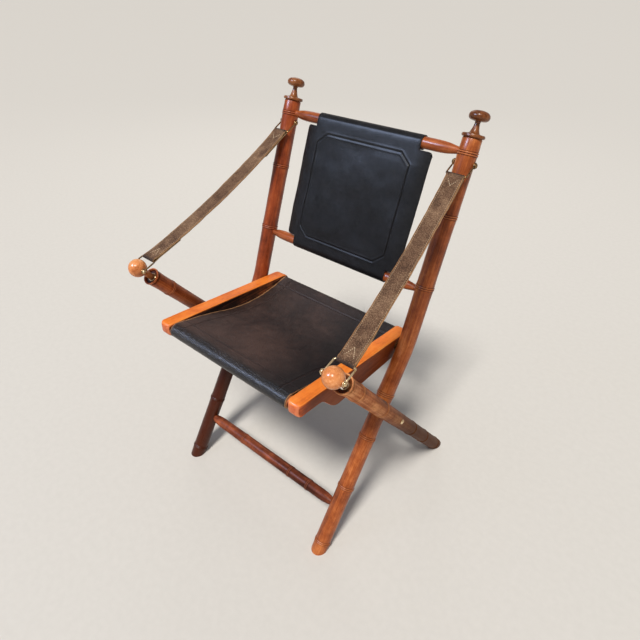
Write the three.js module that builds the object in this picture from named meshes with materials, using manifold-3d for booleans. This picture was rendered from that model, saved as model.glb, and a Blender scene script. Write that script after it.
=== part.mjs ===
// A folding armchair of turned wood with bead rings, a slung leather seat, a leather back
// and two leather arm straps. Millimetres, +Z up, +X to the sitter's left, -Y to the front.
// The origin is on the floor, midway between the front of the arm balls and the rear feet.
import * as THREE from "three";
import * as BufferGeometryUtils from "three/addons/utils/BufferGeometryUtils.js";
import Module from "manifold-3d";

const wasm = await Module();
wasm.setup();

// Driving dimensions of the two crossed frames
const postHalfSpacing = 219.4;
const frameGap = 6.4;
const postLowerTilt = 31.61;
const postUpperTilt = 17.64;
const postBendAlong = 516.2;
const legTilt = 40.97;
const footSpread = 462.9;
const postRadius = 18.2;
const legRadius = 17;
const legHalfSpacing = postHalfSpacing + postRadius + frameGap + legRadius;
const ballRadius = 19.3;
const ballAlong = 769.7;

// Fits between pieces
const clearance = 0.3;
const overrun = 12;
const boreDepth = 22;

// Turned details of a back post, measured along its axis from the floor
const postTopAlong = 941;
const postFootRingAlong = 21;
const postRingsAlong = [168.2, 297.4, 404.3, 652.3, 797.9, 914];
const postRingHeight = 2;
const ringWidth = 7;
const ringRidgeShare = 0.5;
const ringValleyShare = 0.25;
const bendReach = 24;

// Finial on a back post: a flange that sits on the post, a hollow cone, a thin neck and a flat knob
const finialCentreAlong = 977.8;
const finialRadius = 19.3;
const finialHeight = 21.5;
const finialNeckRadius = 4.7;
const finialTenonDepth = 16;
const flangeRadius = 21.6;
const flangeHeight = 7;
const flangeEdgeShare = 0.3;
const coneRadiusShares = [0.62, 0.4, 0.28];
const coneRiseShares = [0.1, 0.3, 0.6];
const knobRadiusShares = [0.66, 0.94, 1, 0.92, 0.62];
const knobRiseShares = [-0.92, -0.5, 0, 0.56, 0.92];

// Turned details of an arm leg, measured along its axis from the floor
const legRimAlong = 730;
const legFootRingAlong = 27;
const legRingsAlong = [161, 288, 520, 668];
const legRingHeight = 1.2;
const rimRadius = 19.2;
const rimHeight = 5;
const rimWall = 4;
const rimCupDepth = 7;
const ballNeckRadius = 7;
const ballCollarWall = 2.2;
const ballCollarHeight = 2.4;

// Cross bars
const frontStretcherAlong = 115.6;
const rearStretcherAlong = 130;
const stretcherRadius = 13;
const stretcherEndRadius = 7;
const frontStretcherTaper = 62;
const rearStretcherTaper = 92;
const stretcherRingsAt = [-87, 73, 131.5];
const stretcherRingHeight = 1.6;
const taperShares = [0.3, 0.65, 1];
const topBarAlong = 915.8;
const bottomBarAlong = 643.7;
const backBarRadius = 11.2;
const backBarEndRadius = 6.2;
const restBarAlong = 534.6;
const restBarRadius = 9;

// Seat rails
const railGap = 2.4;
const railThickness = 31;
const railNoseReach = 245.4;
const railTailReach = 57;
const railNoseRise = 47.4;
const railTailRise = 17.2;
const railNoseDepth = 31.5;
const railBellyDepth = 68;
const railTailDepth = 46;
const railEdgeRadius = 3;
const bellyAt = 124.5;
const shoulderAt = 176.4;
const railRoundShare = 0.2;
const shoulderLeadShare = 2;
const bellyLeadShare = 4;
const seatPivotAlong = 510.8;

// Seat bars and seat leather
const seatBarRadius = 12;
const seatBarTenonShare = 0.7;
const leatherThickness = 3.2;
const seatSag = 27;
const seatSideGap = 3;
const sagLowShare = 0.62;
const frontBarInset = 15.8;
const frontBarDrop = 15.4;
const rearBarInset = 22;
const rearBarDrop = 19.5;

// Back leather, measured from the middle of the back
const backHalfWidth = 154.6;
const backTabHalfWidth = 127.8;
const backTopAlong = 901;
const backBottomAlong = 658.4;
const backCornerRadius = 7;
const backLeatherThickness = 2.8;

// Strap pins and wire bails
const postPinAlong = 896.2;
const pinRadius = 2.6;
const pinHeadRadius = 4.6;
const pinHeadHeight = 2.6;
const wireRadius = 1.6;
const bailReach = 32;
const armBailDrop = 8;

// Straps
const strapHalfWidth = 17.4;
const strapThickness = 4;
const strapSag = 12;
const strapSteps = 12;

// Pivot hardware
const boltRadius = 3.2;
const boltHeadRadius = 5.4;
const boltHeadHeight = 2.8;
const domeShares = [0.35, 0.7];
const washerRadius = 11;
const seatBoltHeadRadius = 8;
const seatBoltHeadHeight = 4.5;
const seatWasherRadius = 10;

// Facets
const postSides = 16;
const barSides = 12;
const wireSides = 6;
const smallSides = 10;
const ballSteps = 9;
const sagSteps = 14;
const railCurveSteps = 8;

const postWood = new THREE.MeshStandardMaterial({ color: 0xa14a24, roughness: 0.35, metalness: 0 });
const legWood = new THREE.MeshStandardMaterial({ color: 0xab5228, roughness: 0.35, metalness: 0 });
const railWood = new THREE.MeshStandardMaterial({ color: 0xe07f38, roughness: 0.4, metalness: 0 });
const stretcherWood = new THREE.MeshStandardMaterial({ color: 0x6e2c18, roughness: 0.4, metalness: 0 });
const seatHide = new THREE.MeshStandardMaterial({ color: 0x2e2019, roughness: 0.5, metalness: 0 });
const backHide = new THREE.MeshStandardMaterial({ color: 0x1d1c20, roughness: 0.45, metalness: 0 });
const strapHide = new THREE.MeshStandardMaterial({ color: 0x6f6150, roughness: 0.6, metalness: 0 });
const brass = new THREE.MeshStandardMaterial({ color: 0xd8c58a, roughness: 0.3, metalness: 1 });

const part = new THREE.Group();

// Angles and the side view: every place on a frame is worked out along its tilted axis
const radians = THREE.MathUtils.degToRad;
const legLine = new THREE.Vector3(0, -Math.sin(radians(legTilt)), Math.cos(radians(legTilt)));
const lowerLine = new THREE.Vector3(0, Math.sin(radians(postLowerTilt)), Math.cos(radians(postLowerTilt)));
const upperLine = new THREE.Vector3(0, Math.sin(radians(postUpperTilt)), Math.cos(radians(postUpperTilt)));
const legFootReach = legRadius / Math.cos(radians(legTilt));
const legFootY = (ballRadius - ballAlong * legLine.y - legFootReach) / 2;
const legFoot = new THREE.Vector3(legHalfSpacing, 0, 0).setY(legFootY);
const postFoot = new THREE.Vector3(postHalfSpacing, legFootY - footSpread, 0);
const bend = postFoot.clone().addScaledVector(lowerLine, postBendAlong);

function onLeg(along) {
  return legFoot.clone().addScaledVector(legLine, along);
}

function onPost(along) {
  if (along <= postBendAlong) return postFoot.clone().addScaledVector(lowerLine, along);
  return bend.clone().addScaledVector(upperLine, along - postBendAlong);
}

// The two lines cross at the main pivot
const crossing = lowerLine.y * legLine.z - lowerLine.z * legLine.y;
const postPivotAlong = (footSpread * legLine.z) / crossing;
const legPivotAlong = (footSpread * lowerLine.z) / crossing;
const pivot = onPost(postPivotAlong);
const seatPivot = onPost(seatPivotAlong);

// Solids for cutting and joining
function toSolid(geometry) {
  const bare = geometry.index ? geometry.toNonIndexed() : geometry.clone();
  bare.deleteAttribute("normal");
  bare.deleteAttribute("uv");
  const merged = BufferGeometryUtils.mergeVertices(bare, clearance / 1000);
  const vertProperties = new Float32Array(merged.attributes.position.array);
  const triVerts = new Uint32Array(merged.index.array);
  return new wasm.Manifold(new wasm.Mesh({ numProp: 3, vertProperties, triVerts }));
}

function toGeometry(solid) {
  const mesh = solid.getMesh();
  const geometry = new THREE.BufferGeometry();
  geometry.setAttribute("position", new THREE.BufferAttribute(new Float32Array(mesh.vertProperties), 3));
  geometry.setIndex(new THREE.BufferAttribute(new Uint32Array(mesh.triVerts), 1));
  return geometry;
}

function cut(geometry, ...tools) {
  const solid = tools.reduce((rest, tool) => rest.subtract(toSolid(tool)), toSolid(geometry));
  return toGeometry(solid);
}

function join(...geometries) {
  const solids = geometries.map(toSolid);
  return toGeometry(solids.reduce((whole, solid) => whole.add(solid)));
}

function add(name, geometry, material) {
  const mesh = new THREE.Mesh(geometry, material);
  mesh.name = name;
  part.add(mesh);
}

// Round pieces are turned about Z and then laid along a line
function turned(profile, sides) {
  const points = profile.map(([radius, along]) => new THREE.Vector2(radius, along));
  return new THREE.LatheGeometry(points, sides, Math.PI / sides).rotateX(Math.PI / 2);
}

function laid(geometry, from, direction) {
  const turn = new THREE.Quaternion().setFromUnitVectors(new THREE.Vector3(0, 0, 1), direction.clone().normalize());
  return geometry.applyQuaternion(turn).translate(from.x, from.y, from.z);
}

function rod(radius, from, to, sides = smallSides) {
  const line = to.clone().sub(from);
  const profile = [[0, 0], [radius, 0], [radius, line.length()], [0, line.length()]];
  return laid(turned(profile, sides), from, line);
}

function acrossRod(radius, centre, fromX, toX, sides = smallSides) {
  const ends = [Math.min(fromX, toX), Math.max(fromX, toX)];
  return rod(radius, centre.clone().setX(ends[0]), centre.clone().setX(ends[1]), sides);
}

function ring(outer, inner, centre, fromX, toX, sides = smallSides) {
  const body = acrossRod(outer, centre, fromX, toX, sides);
  const reach = Math.sign(toX - fromX) * overrun;
  return cut(body, acrossRod(inner, centre, fromX - reach, toX + reach, sides));
}

// A ring on a turned piece is a pair of fine ridges with a shallow valley between them
function ringAt(radius, height, along) {
  const half = ringWidth / 2;
  const ridge = half * ringRidgeShare;
  return [
    [radius, along - half],
    [radius + height, along - ridge],
    [radius + height * ringValleyShare, along],
    [radius + height, along + ridge],
    [radius, along + half],
  ];
}

const underFloor = new THREE.BoxGeometry(2 * legHalfSpacing, footSpread, boreDepth * 2);

function cutAtFloor(geometry, foot) {
  const floor = underFloor.clone().translate(foot.x, foot.y, -boreDepth);
  return cut(geometry, floor);
}

// Back posts: turned straight, then bent at seat height and cut flat at the foot
function postProfile() {
  const profile = [[0, -overrun], [postRadius, -overrun]];
  const rings = [postFootRingAlong, ...postRingsAlong].map((along) => ringAt(postRadius, postRingHeight, along));
  const bends = [-1, 0, 1].map((side) => [postRadius, postBendAlong + side * bendReach]);
  const stretches = [...rings, bends].sort((first, second) => first[0][1] - second[0][1]);
  profile.push(...stretches.flat(), [postRadius, postTopAlong], [0, postTopAlong]);
  return profile;
}

function bentPost() {
  const geometry = turned(postProfile(), postSides);
  const place = geometry.attributes.position;
  const forward = new THREE.Vector3();
  for (let at = 0; at < place.count; at += 1) {
    const along = place.getZ(at);
    const share = THREE.MathUtils.clamp((along - postBendAlong + bendReach) / (2 * bendReach), 0, 1);
    const tilt = radians(THREE.MathUtils.lerp(postLowerTilt, postUpperTilt, share));
    forward.set(0, Math.cos(tilt), -Math.sin(tilt));
    const centre = onPost(along);
    place.setXYZ(
      at,
      centre.x + place.getX(at),
      centre.y + forward.y * place.getY(at),
      centre.z + forward.z * place.getY(at),
    );
  }
  return geometry;
}

function postCuts() {
  const inner = postHalfSpacing - postRadius - overrun;
  const middle = postHalfSpacing;
  const outer = postHalfSpacing + postRadius + overrun;
  return [
    acrossRod(stretcherEndRadius + clearance, onPost(frontStretcherAlong), inner, middle, barSides),
    acrossRod(backBarEndRadius + clearance, onPost(topBarAlong), inner, middle, barSides),
    acrossRod(backBarEndRadius + clearance, onPost(bottomBarAlong), inner, middle, barSides),
    acrossRod(boltRadius + clearance, seatPivot, inner, middle),
    acrossRod(boltRadius + clearance, pivot, middle, outer),
    acrossRod(pinRadius + clearance, onPost(postPinAlong), inner, outer),
    rod(finialNeckRadius + clearance, onPost(postTopAlong - finialTenonDepth), onPost(postTopAlong + overrun)),
  ];
}

function mirrored(geometry) {
  const copy = geometry.clone();
  const corners = copy.index.array;
  copy.attributes.position.applyMatrix4(new THREE.Matrix4().makeScale(-1, 1, 1));
  for (let at = 0; at < corners.length; at += 3) {
    [corners[at], corners[at + 1]] = [corners[at + 1], corners[at]];
  }
  return copy;
}

function addPair(name, geometry, material) {
  add(`right_${name}`, geometry, material);
  add(`left_${name}`, mirrored(geometry), material);
}

addPair("back_post", cutAtFloor(cut(bentPost(), ...postCuts()), postFoot), postWood);

// Finials: one turned piece whose tenon is glued into the top of the post
function finial() {
  const seat = finialTenonDepth + clearance;
  const middle = finialCentreAlong - postTopAlong + finialTenonDepth;
  const knobHalf = finialHeight / 2;
  const neckTop = middle - knobHalf;
  const flangeTop = seat + flangeHeight;
  const edge = flangeHeight * flangeEdgeShare;
  const profile = [[0, clearance], [finialNeckRadius, clearance], [finialNeckRadius, seat]];
  profile.push([flangeRadius - edge, seat], [flangeRadius, seat + edge], [flangeRadius - edge, flangeTop - edge]);
  coneRadiusShares.forEach((radiusShare, at) => {
    profile.push([flangeRadius * radiusShare, THREE.MathUtils.lerp(flangeTop - edge, neckTop, coneRiseShares[at])]);
  });
  profile.push([finialNeckRadius, neckTop]);
  knobRadiusShares.forEach((radiusShare, at) => {
    profile.push([finialRadius * radiusShare, middle + knobHalf * knobRiseShares[at]]);
  });
  profile.push([0, middle + knobHalf]);
  return laid(turned(profile, postSides), onPost(postTopAlong - finialTenonDepth), upperLine);
}

addPair("finial", finial(), postWood);

// Arm legs: straight, with a cupped rim at the front that the ball's neck stands in
function legProfile() {
  const profile = [[0, -overrun * 2], [legRadius, -overrun * 2]];
  [legFootRingAlong, ...legRingsAlong].forEach((along) => profile.push(...ringAt(legRadius, legRingHeight, along)));
  profile.push([legRadius, legRimAlong - rimHeight - legRingHeight], [rimRadius, legRimAlong - rimHeight]);
  profile.push([rimRadius, legRimAlong], [rimRadius - rimWall, legRimAlong]);
  profile.push([rimRadius - rimWall, legRimAlong - rimCupDepth], [0, legRimAlong - rimCupDepth]);
  return profile;
}

function legCuts() {
  const inner = legHalfSpacing - legRadius - overrun;
  const middle = legHalfSpacing;
  const outer = legHalfSpacing + legRadius + overrun;
  const cupFloor = legRimAlong - rimCupDepth;
  return [
    acrossRod(stretcherEndRadius + clearance, onLeg(rearStretcherAlong), inner, middle, barSides),
    acrossRod(restBarRadius + clearance, onLeg(restBarAlong), inner, middle, barSides),
    acrossRod(boltRadius + clearance, pivot, inner, outer),
    rod(ballNeckRadius + clearance, onLeg(cupFloor - boreDepth), onLeg(legRimAlong + overrun), barSides),
  ];
}

function armLeg() {
  const whole = laid(turned(legProfile(), postSides), legFoot, legLine);
  return cutAtFloor(cut(whole, ...legCuts()), legFoot);
}

addPair("arm_leg", armLeg(), legWood);

// Arm balls: a ball on a neck, with the strap pin through the middle of the ball
function armBall() {
  const start = legRimAlong - rimCupDepth - boreDepth + clearance;
  const middle = ballAlong - start;
  const stem = Math.asin(ballNeckRadius / ballRadius);
  const profile = [[0, 0], [ballNeckRadius, 0]];
  for (let step = 0; step < ballSteps; step += 1) {
    const angle = stem + ((Math.PI - stem) * step) / ballSteps;
    profile.push([ballRadius * Math.sin(angle), middle - ballRadius * Math.cos(angle)]);
  }
  profile.push([0, middle + ballRadius]);
  const whole = laid(turned(profile, postSides), onLeg(start), legLine);
  const reach = ballRadius + overrun;
  const [inner, outer] = [legHalfSpacing - reach, legHalfSpacing + reach];
  const pinHole = acrossRod(pinRadius + clearance, onLeg(ballAlong), inner, outer);
  return cut(whole, pinHole);
}

addPair("arm_ball", armBall(), legWood);

function ballCollar() {
  const low = onLeg(legRimAlong - rimCupDepth + clearance);
  const high = onLeg(legRimAlong - rimCupDepth + clearance + ballCollarHeight);
  const bore = ballNeckRadius + clearance;
  const whole = rod(bore + ballCollarWall, low, high, barSides);
  return cut(whole, rod(bore, onLeg(legRimAlong - rimCupDepth - overrun), onLeg(legRimAlong + overrun), barSides));
}

addPair("ball_collar", ballCollar(), brass);

// Cross bars, turned thicker in the middle, with ends let into blind holes
function bar(centre, reach, midRadius, endRadius, taper, rings = []) {
  const end = [[0, -reach], [endRadius, -reach], [endRadius, -reach + boreDepth]];
  if (midRadius > endRadius) {
    taperShares.forEach((share) => {
      const radius = THREE.MathUtils.lerp(endRadius, midRadius, Math.sin((share * Math.PI) / 2));
      end.push([radius, -reach + boreDepth + taper * share]);
    });
  }
  const otherEnd = end.map(([radius, along]) => [radius, -along]).reverse();
  const profile = [...end, ...rings.flatMap((along) => ringAt(midRadius, stretcherRingHeight, along)), ...otherEnd];
  return laid(turned(profile, barSides), centre.clone().setX(0), new THREE.Vector3(1, 0, 0));
}

const postBarReach = postHalfSpacing - clearance;
const legBarReach = legHalfSpacing - clearance;
const backBarTaper = postHalfSpacing - boreDepth - backTabHalfWidth;
const topBarCentre = onPost(topBarAlong);
const bottomBarCentre = onPost(bottomBarAlong);
const restBarCentre = onLeg(restBarAlong);

function stretcher(centre, reach, taper) {
  return bar(centre, reach, stretcherRadius, stretcherEndRadius, taper, stretcherRingsAt);
}

add("front_stretcher", stretcher(onPost(frontStretcherAlong), postBarReach, frontStretcherTaper), stretcherWood);
add("rear_stretcher", stretcher(onLeg(rearStretcherAlong), legBarReach, rearStretcherTaper), stretcherWood);
add("top_back_bar", bar(topBarCentre, postBarReach, backBarRadius, backBarEndRadius, backBarTaper), postWood);
add("bottom_back_bar", bar(bottomBarCentre, postBarReach, backBarRadius, backBarEndRadius, backBarTaper), postWood);
add("seat_rest_bar", bar(restBarCentre, legBarReach, restBarRadius, restBarRadius, 0), stretcherWood);

// Seat rails: boards with a nose, a belly that rests on the bar of the arm frame, and a round tail
const railOuterX = postHalfSpacing - postRadius - railGap;
const railInnerX = railOuterX - railThickness;
const noseY = pivot.y - railNoseReach;
const tailY = seatPivot.y + railTailReach;

function railTopAt(y) {
  const share = (y - noseY) / (tailY - noseY);
  return seatPivot.z + THREE.MathUtils.lerp(railNoseRise, railTailRise, share);
}

function railOutline() {
  const shape = new THREE.Shape();
  const noseLow = railTopAt(noseY) - railNoseDepth;
  const bellyY = pivot.y - bellyAt;
  const shoulderY = pivot.y - shoulderAt;
  const bellyLow = railTopAt(bellyY) - railBellyDepth;
  const tailLow = railTopAt(tailY) - railTailDepth;
  const round = railNoseDepth * railRoundShare;
  const tailRound = railTailDepth / 2;
  shape.moveTo(noseY + round, railTopAt(noseY + round));
  shape.quadraticCurveTo(noseY, railTopAt(noseY), noseY, railTopAt(noseY) - round);
  shape.lineTo(noseY, noseLow + round);
  shape.quadraticCurveTo(noseY, noseLow, noseY + round, noseLow);
  shape.lineTo(shoulderY - round, noseLow - round / 2);
  const shoulderLead = round * shoulderLeadShare;
  const bellyLead = round * bellyLeadShare;
  shape.bezierCurveTo(shoulderY + shoulderLead, noseLow - round, bellyY - bellyLead, bellyLow, bellyY, bellyLow);
  shape.lineTo(tailY - tailRound, tailLow);
  shape.absarc(tailY - tailRound, tailLow + tailRound, tailRound, -Math.PI / 2, Math.PI / 2, false);
  shape.lineTo(noseY + round, railTopAt(noseY + round));
  return shape;
}

// A side-view shape, drawn in Y and Z, is given its width along X
function acrossExtrusion(shape, fromX, toX, edge, curveSegments) {
  const settings = {
    depth: toX - fromX - 2 * edge,
    bevelEnabled: edge > 0,
    bevelSize: edge,
    bevelThickness: edge,
    bevelOffset: -edge,
    bevelSegments: 2,
    curveSegments,
  };
  const geometry = new THREE.ExtrudeGeometry(shape, settings);
  geometry.rotateX(Math.PI / 2).rotateZ(Math.PI / 2);
  return geometry.translate(fromX + edge, 0, 0);
}

const frontBarCentre = new THREE.Vector3(0, noseY + frontBarInset, railTopAt(noseY + frontBarInset) - frontBarDrop);
const rearBarCentre = new THREE.Vector3(0, tailY - rearBarInset, railTopAt(tailY - rearBarInset) - rearBarDrop);
const seatBarTenon = railThickness / 2;
const seatBarTenonRadius = seatBarRadius * seatBarTenonShare;

function rail() {
  const seatBoltBore = boltRadius + clearance;
  const headBore = seatBoltHeadRadius + clearance;
  const headDepth = seatBoltHeadHeight + clearance;
  const notch = restBarRadius + clearance;
  const from = railInnerX - overrun;
  const through = railOuterX + overrun;
  const tenonBores = [frontBarCentre, rearBarCentre].map((centre) =>
    acrossRod(seatBarTenonRadius + clearance, centre, from, railInnerX + seatBarTenon, barSides),
  );
  return cut(
    acrossExtrusion(railOutline(), railInnerX, railOuterX, railEdgeRadius, railCurveSteps),
    ...tenonBores,
    acrossRod(seatBoltBore, seatPivot, from, through),
    acrossRod(headBore, seatPivot, from, railInnerX + headDepth, barSides),
    acrossRod(notch, restBarCentre, from, through, barSides),
  );
}

addPair("seat_rail", rail(), railWood);

function seatBar(centre) {
  const reach = railInnerX + seatBarTenon - clearance;
  const shoulder = railInnerX - clearance;
  const half = [[seatBarRadius, shoulder], [seatBarTenonRadius, shoulder], [seatBarTenonRadius, reach], [0, reach]];
  const otherHalf = half.map(([radius, along]) => [radius, -along]).reverse();
  const profile = [...otherHalf, ...half];
  return laid(turned(profile, barSides), centre, new THREE.Vector3(1, 0, 0));
}

add("seat_front_bar", seatBar(frontBarCentre), railWood);
add("seat_rear_bar", seatBar(rearBarCentre), railWood);

// Seat leather: one hide with a sewn sleeve round each bar and a sag between them
const seatSleeveRadius = seatBarRadius + clearance + leatherThickness;
const seatHalfWidth = railInnerX - seatSideGap;

function seatSheet() {
  const top = seatSleeveRadius - leatherThickness / 2;
  const start = new THREE.Vector2(frontBarCentre.y, frontBarCentre.z + top);
  const end = new THREE.Vector2(rearBarCentre.y, rearBarCentre.z + top);
  const upper = [];
  const lower = [];
  for (let step = 0; step <= sagSteps; step += 1) {
    const share = step / sagSteps;
    const lean = Math.pow(share, Math.log(0.5) / Math.log(sagLowShare));
    const y = THREE.MathUtils.lerp(start.x, end.x, share);
    const z = THREE.MathUtils.lerp(start.y, end.y, share) - seatSag * Math.sin(Math.PI * lean);
    upper.push(new THREE.Vector2(y, z + leatherThickness / 2));
    lower.push(new THREE.Vector2(y, z - leatherThickness / 2));
  }
  return new THREE.Shape([...lower, ...upper.reverse()]);
}

function sleeved(sheet, radius, bore, halfWidth, centres) {
  const sleeves = centres.map((centre) => acrossRod(radius, centre, -halfWidth, halfWidth, barSides));
  const reach = halfWidth + overrun;
  const bores = centres.map((centre) => acrossRod(bore, centre, -reach, reach, barSides));
  return cut(join(sheet, ...sleeves), ...bores);
}

const seatBore = seatBarRadius + clearance;
add(
  "seat_leather",
  sleeved(
    acrossExtrusion(seatSheet(), -seatHalfWidth, seatHalfWidth, 0, 1),
    seatSleeveRadius, seatBore, seatHalfWidth, [frontBarCentre, rearBarCentre],
  ),
  seatHide,
);

// Back leather: a panel with a narrower tab at each end, sewn into a sleeve round each bar
const backSleeveRadius = backBarRadius + clearance + backLeatherThickness;

function backPanel() {
  const shape = new THREE.Shape();
  const corner = backCornerRadius;
  const outline = [
    [backTabHalfWidth, bottomBarAlong], [backTabHalfWidth, backBottomAlong],
    [backHalfWidth - corner, backBottomAlong], [backHalfWidth, backBottomAlong + corner],
    [backHalfWidth, backTopAlong - corner], [backHalfWidth - corner, backTopAlong],
    [backTabHalfWidth, backTopAlong], [backTabHalfWidth, topBarAlong],
  ];
  const left = outline.map(([across, along]) => [-across, along]).reverse();
  [...outline, ...left].forEach(([across, along], at) => {
    const up = along - bottomBarAlong;
    if (at === 0) shape.moveTo(across, up);
    else shape.lineTo(across, up);
  });
  const geometry = new THREE.ExtrudeGeometry(shape, { depth: backLeatherThickness, bevelEnabled: false });
  geometry.translate(0, 0, backSleeveRadius - backLeatherThickness);
  geometry.rotateX(Math.PI / 2 - radians(postUpperTilt));
  return geometry.translate(0, bottomBarCentre.y, bottomBarCentre.z);
}

const backBore = backBarRadius + clearance;
add(
  "back_leather",
  sleeved(backPanel(), backSleeveRadius, backBore, backTabHalfWidth, [topBarCentre, bottomBarCentre]),
  backHide,
);

// Pivot hardware
const boltHeadX = legHalfSpacing + legRadius;
const spacerFrom = postHalfSpacing + postRadius + clearance;
const spacerTo = legHalfSpacing - legRadius - clearance;

function pivotBolt() {
  const from = postHalfSpacing + clearance;
  const shank = acrossRod(boltRadius, pivot, from, boltHeadX + clearance + boltHeadHeight / 2);
  const head = dome(boltHeadRadius, boltHeadHeight, barSides);
  const seat = pivot.clone().setX(boltHeadX + clearance);
  return join(shank, laid(head, seat, new THREE.Vector3(1, 0, 0)));
}

function dome(radius, height, sides) {
  const profile = [[0, 0], [radius, 0]];
  domeShares.forEach((share) => {
    profile.push([radius * Math.cos((share * Math.PI) / 2), height * Math.sin((share * Math.PI) / 2)]);
  });
  profile.push([0, height]);
  return turned(profile, sides);
}

addPair("pivot_bolt", pivotBolt(), brass);
addPair("pivot_spacer", ring(washerRadius, boltRadius + clearance, pivot, spacerFrom, spacerTo, barSides), brass);

function seatBolt() {
  const headTo = railInnerX + seatBoltHeadHeight;
  const shank = acrossRod(boltRadius, seatPivot, railInnerX + clearance, postHalfSpacing - clearance);
  return join(shank, acrossRod(seatBoltHeadRadius, seatPivot, railInnerX, headTo, barSides));
}

addPair("seat_bolt", seatBolt(), brass);
const seatWasherFrom = railOuterX + clearance;
const seatWasherTo = postHalfSpacing - postRadius - clearance;
addPair(
  "seat_washer",
  ring(seatWasherRadius, boltRadius + clearance, seatPivot, seatWasherFrom, seatWasherTo, barSides),
  brass,
);

// Strap pins: a rod with a domed head at each end, and room for a bail's eye inside each head
const postEyeOffset = postRadius + 2 * clearance + wireRadius;
const armEyeOffset = ballRadius + 2 * clearance + wireRadius;

function strapPin(centre, eyeOffset) {
  const headOffset = eyeOffset + wireRadius + clearance;
  const shank = acrossRod(pinRadius, centre, centre.x - headOffset - clearance, centre.x + headOffset + clearance);
  const heads = [-1, 1].map((side) => {
    const from = centre.clone().setX(centre.x + side * headOffset);
    return laid(dome(pinHeadRadius, pinHeadHeight, smallSides), from, new THREE.Vector3(side, 0, 0));
  });
  return join(shank, ...heads);
}

const postPin = onPost(postPinAlong);
const armPin = onLeg(ballAlong);
addPair("post_pin", strapPin(postPin, postEyeOffset), brass);
addPair("arm_pin", strapPin(armPin, armEyeOffset), brass);

// Wire bails: each swings on its pin and carries one end of a strap. The strap sags, so that the bail at
// the ball lies flatter than the straight line between the pins.
const strapLine = armPin.clone().sub(postPin).setX(0).normalize();
const armBailLine = strapLine.clone().negate().applyAxisAngle(new THREE.Vector3(1, 0, 0), -radians(armBailDrop));

function bail(pin, direction, eyeOffset) {
  const point = (across, reach) => pin.clone().addScaledVector(direction, reach).setX(pin.x + across);
  const eyeReach = pinRadius + clearance + wireRadius;
  const crossbar = rod(wireRadius, point(-eyeOffset, bailReach), point(eyeOffset, bailReach), wireSides);
  const sides = [-1, 1].flatMap((side) => {
    const leg = rod(wireRadius, point(side * eyeOffset, eyeReach), point(side * eyeOffset, bailReach), wireSides);
    const corner = new THREE.SphereGeometry(wireRadius, wireSides, wireSides / 2);
    const eye = new THREE.TorusGeometry(eyeReach, wireRadius, wireSides, smallSides).rotateY(Math.PI / 2);
    const bendAt = point(side * eyeOffset, bailReach);
    return [
      leg,
      corner.translate(bendAt.x, bendAt.y, bendAt.z),
      eye.translate(pin.x + side * eyeOffset, pin.y, pin.z),
    ];
  });
  return join(crossbar, ...sides);
}

addPair("post_bail", bail(postPin, strapLine, postEyeOffset), brass);
addPair("arm_bail", bail(armPin, armBailLine, armEyeOffset), brass);

// Arm straps: leather from bail to bail, folded round each bail's crossbar and sewn to itself. The band
// between the folds sags in its middle. It is drawn from the side in a frame of its own.
function strapBand(length) {
  const line = (side) =>
    Array.from({ length: strapSteps + 1 }, (_, step) => {
      const share = step / strapSteps;
      const sag = 4 * strapSag * share * (1 - share);
      return new THREE.Vector2((share - 0.5) * length, sag + (side * strapThickness) / 2);
    });
  const shape = new THREE.Shape([...line(-1), ...line(1).reverse()]);
  const band = new THREE.ExtrudeGeometry(shape, { depth: 2 * strapHalfWidth, bevelEnabled: false });
  const [across, along, lift] = [new THREE.Vector3(1, 0, 0), new THREE.Vector3(0, 1, 0), new THREE.Vector3(0, 0, 1)];
  return band.translate(0, 0, -strapHalfWidth).applyMatrix4(new THREE.Matrix4().makeBasis(along, lift, across));
}

function strap() {
  const from = postPin.clone().addScaledVector(strapLine, bailReach);
  const to = armPin.clone().addScaledVector(armBailLine, bailReach);
  const run = to.clone().sub(from);
  const bore = wireRadius + clearance;
  const loop = bore + strapThickness / 2;
  const eyes = [-1, 1].map((side) => {
    const centre = new THREE.Vector3(0, (side * run.length()) / 2, 0);
    return acrossRod(loop, centre, -strapHalfWidth, strapHalfWidth, barSides);
  });
  const bores = [-1, 1].map((side) => {
    const centre = new THREE.Vector3(0, (side * run.length()) / 2, 0);
    const reach = strapHalfWidth + overrun;
    return acrossRod(bore, centre, -reach, reach, barSides);
  });
  const whole = cut(join(strapBand(run.length()), ...eyes), ...bores);
  const across = new THREE.Vector3(1, 0, 0);
  const along = run.clone().normalize();
  const frame = new THREE.Matrix4().makeBasis(across, along, across.clone().cross(along).normalize());
  const middle = from.clone().add(to).multiplyScalar(0.5);
  return whole.applyMatrix4(frame.setPosition(middle));
}

addPair("arm_strap", strap(), strapHide);

export default part;
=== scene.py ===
# %% [markdown]
# This lesson dresses a folding armchair of turned wood with leather seat, back and arm straps.
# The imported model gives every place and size, and stays as it is. Each visible piece is modelled
# again here with finer shapes, and takes the place of the solid that it stands for.

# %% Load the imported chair
import math

import bpy
import numpy as np
from mathutils import Matrix, Vector, noise


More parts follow.
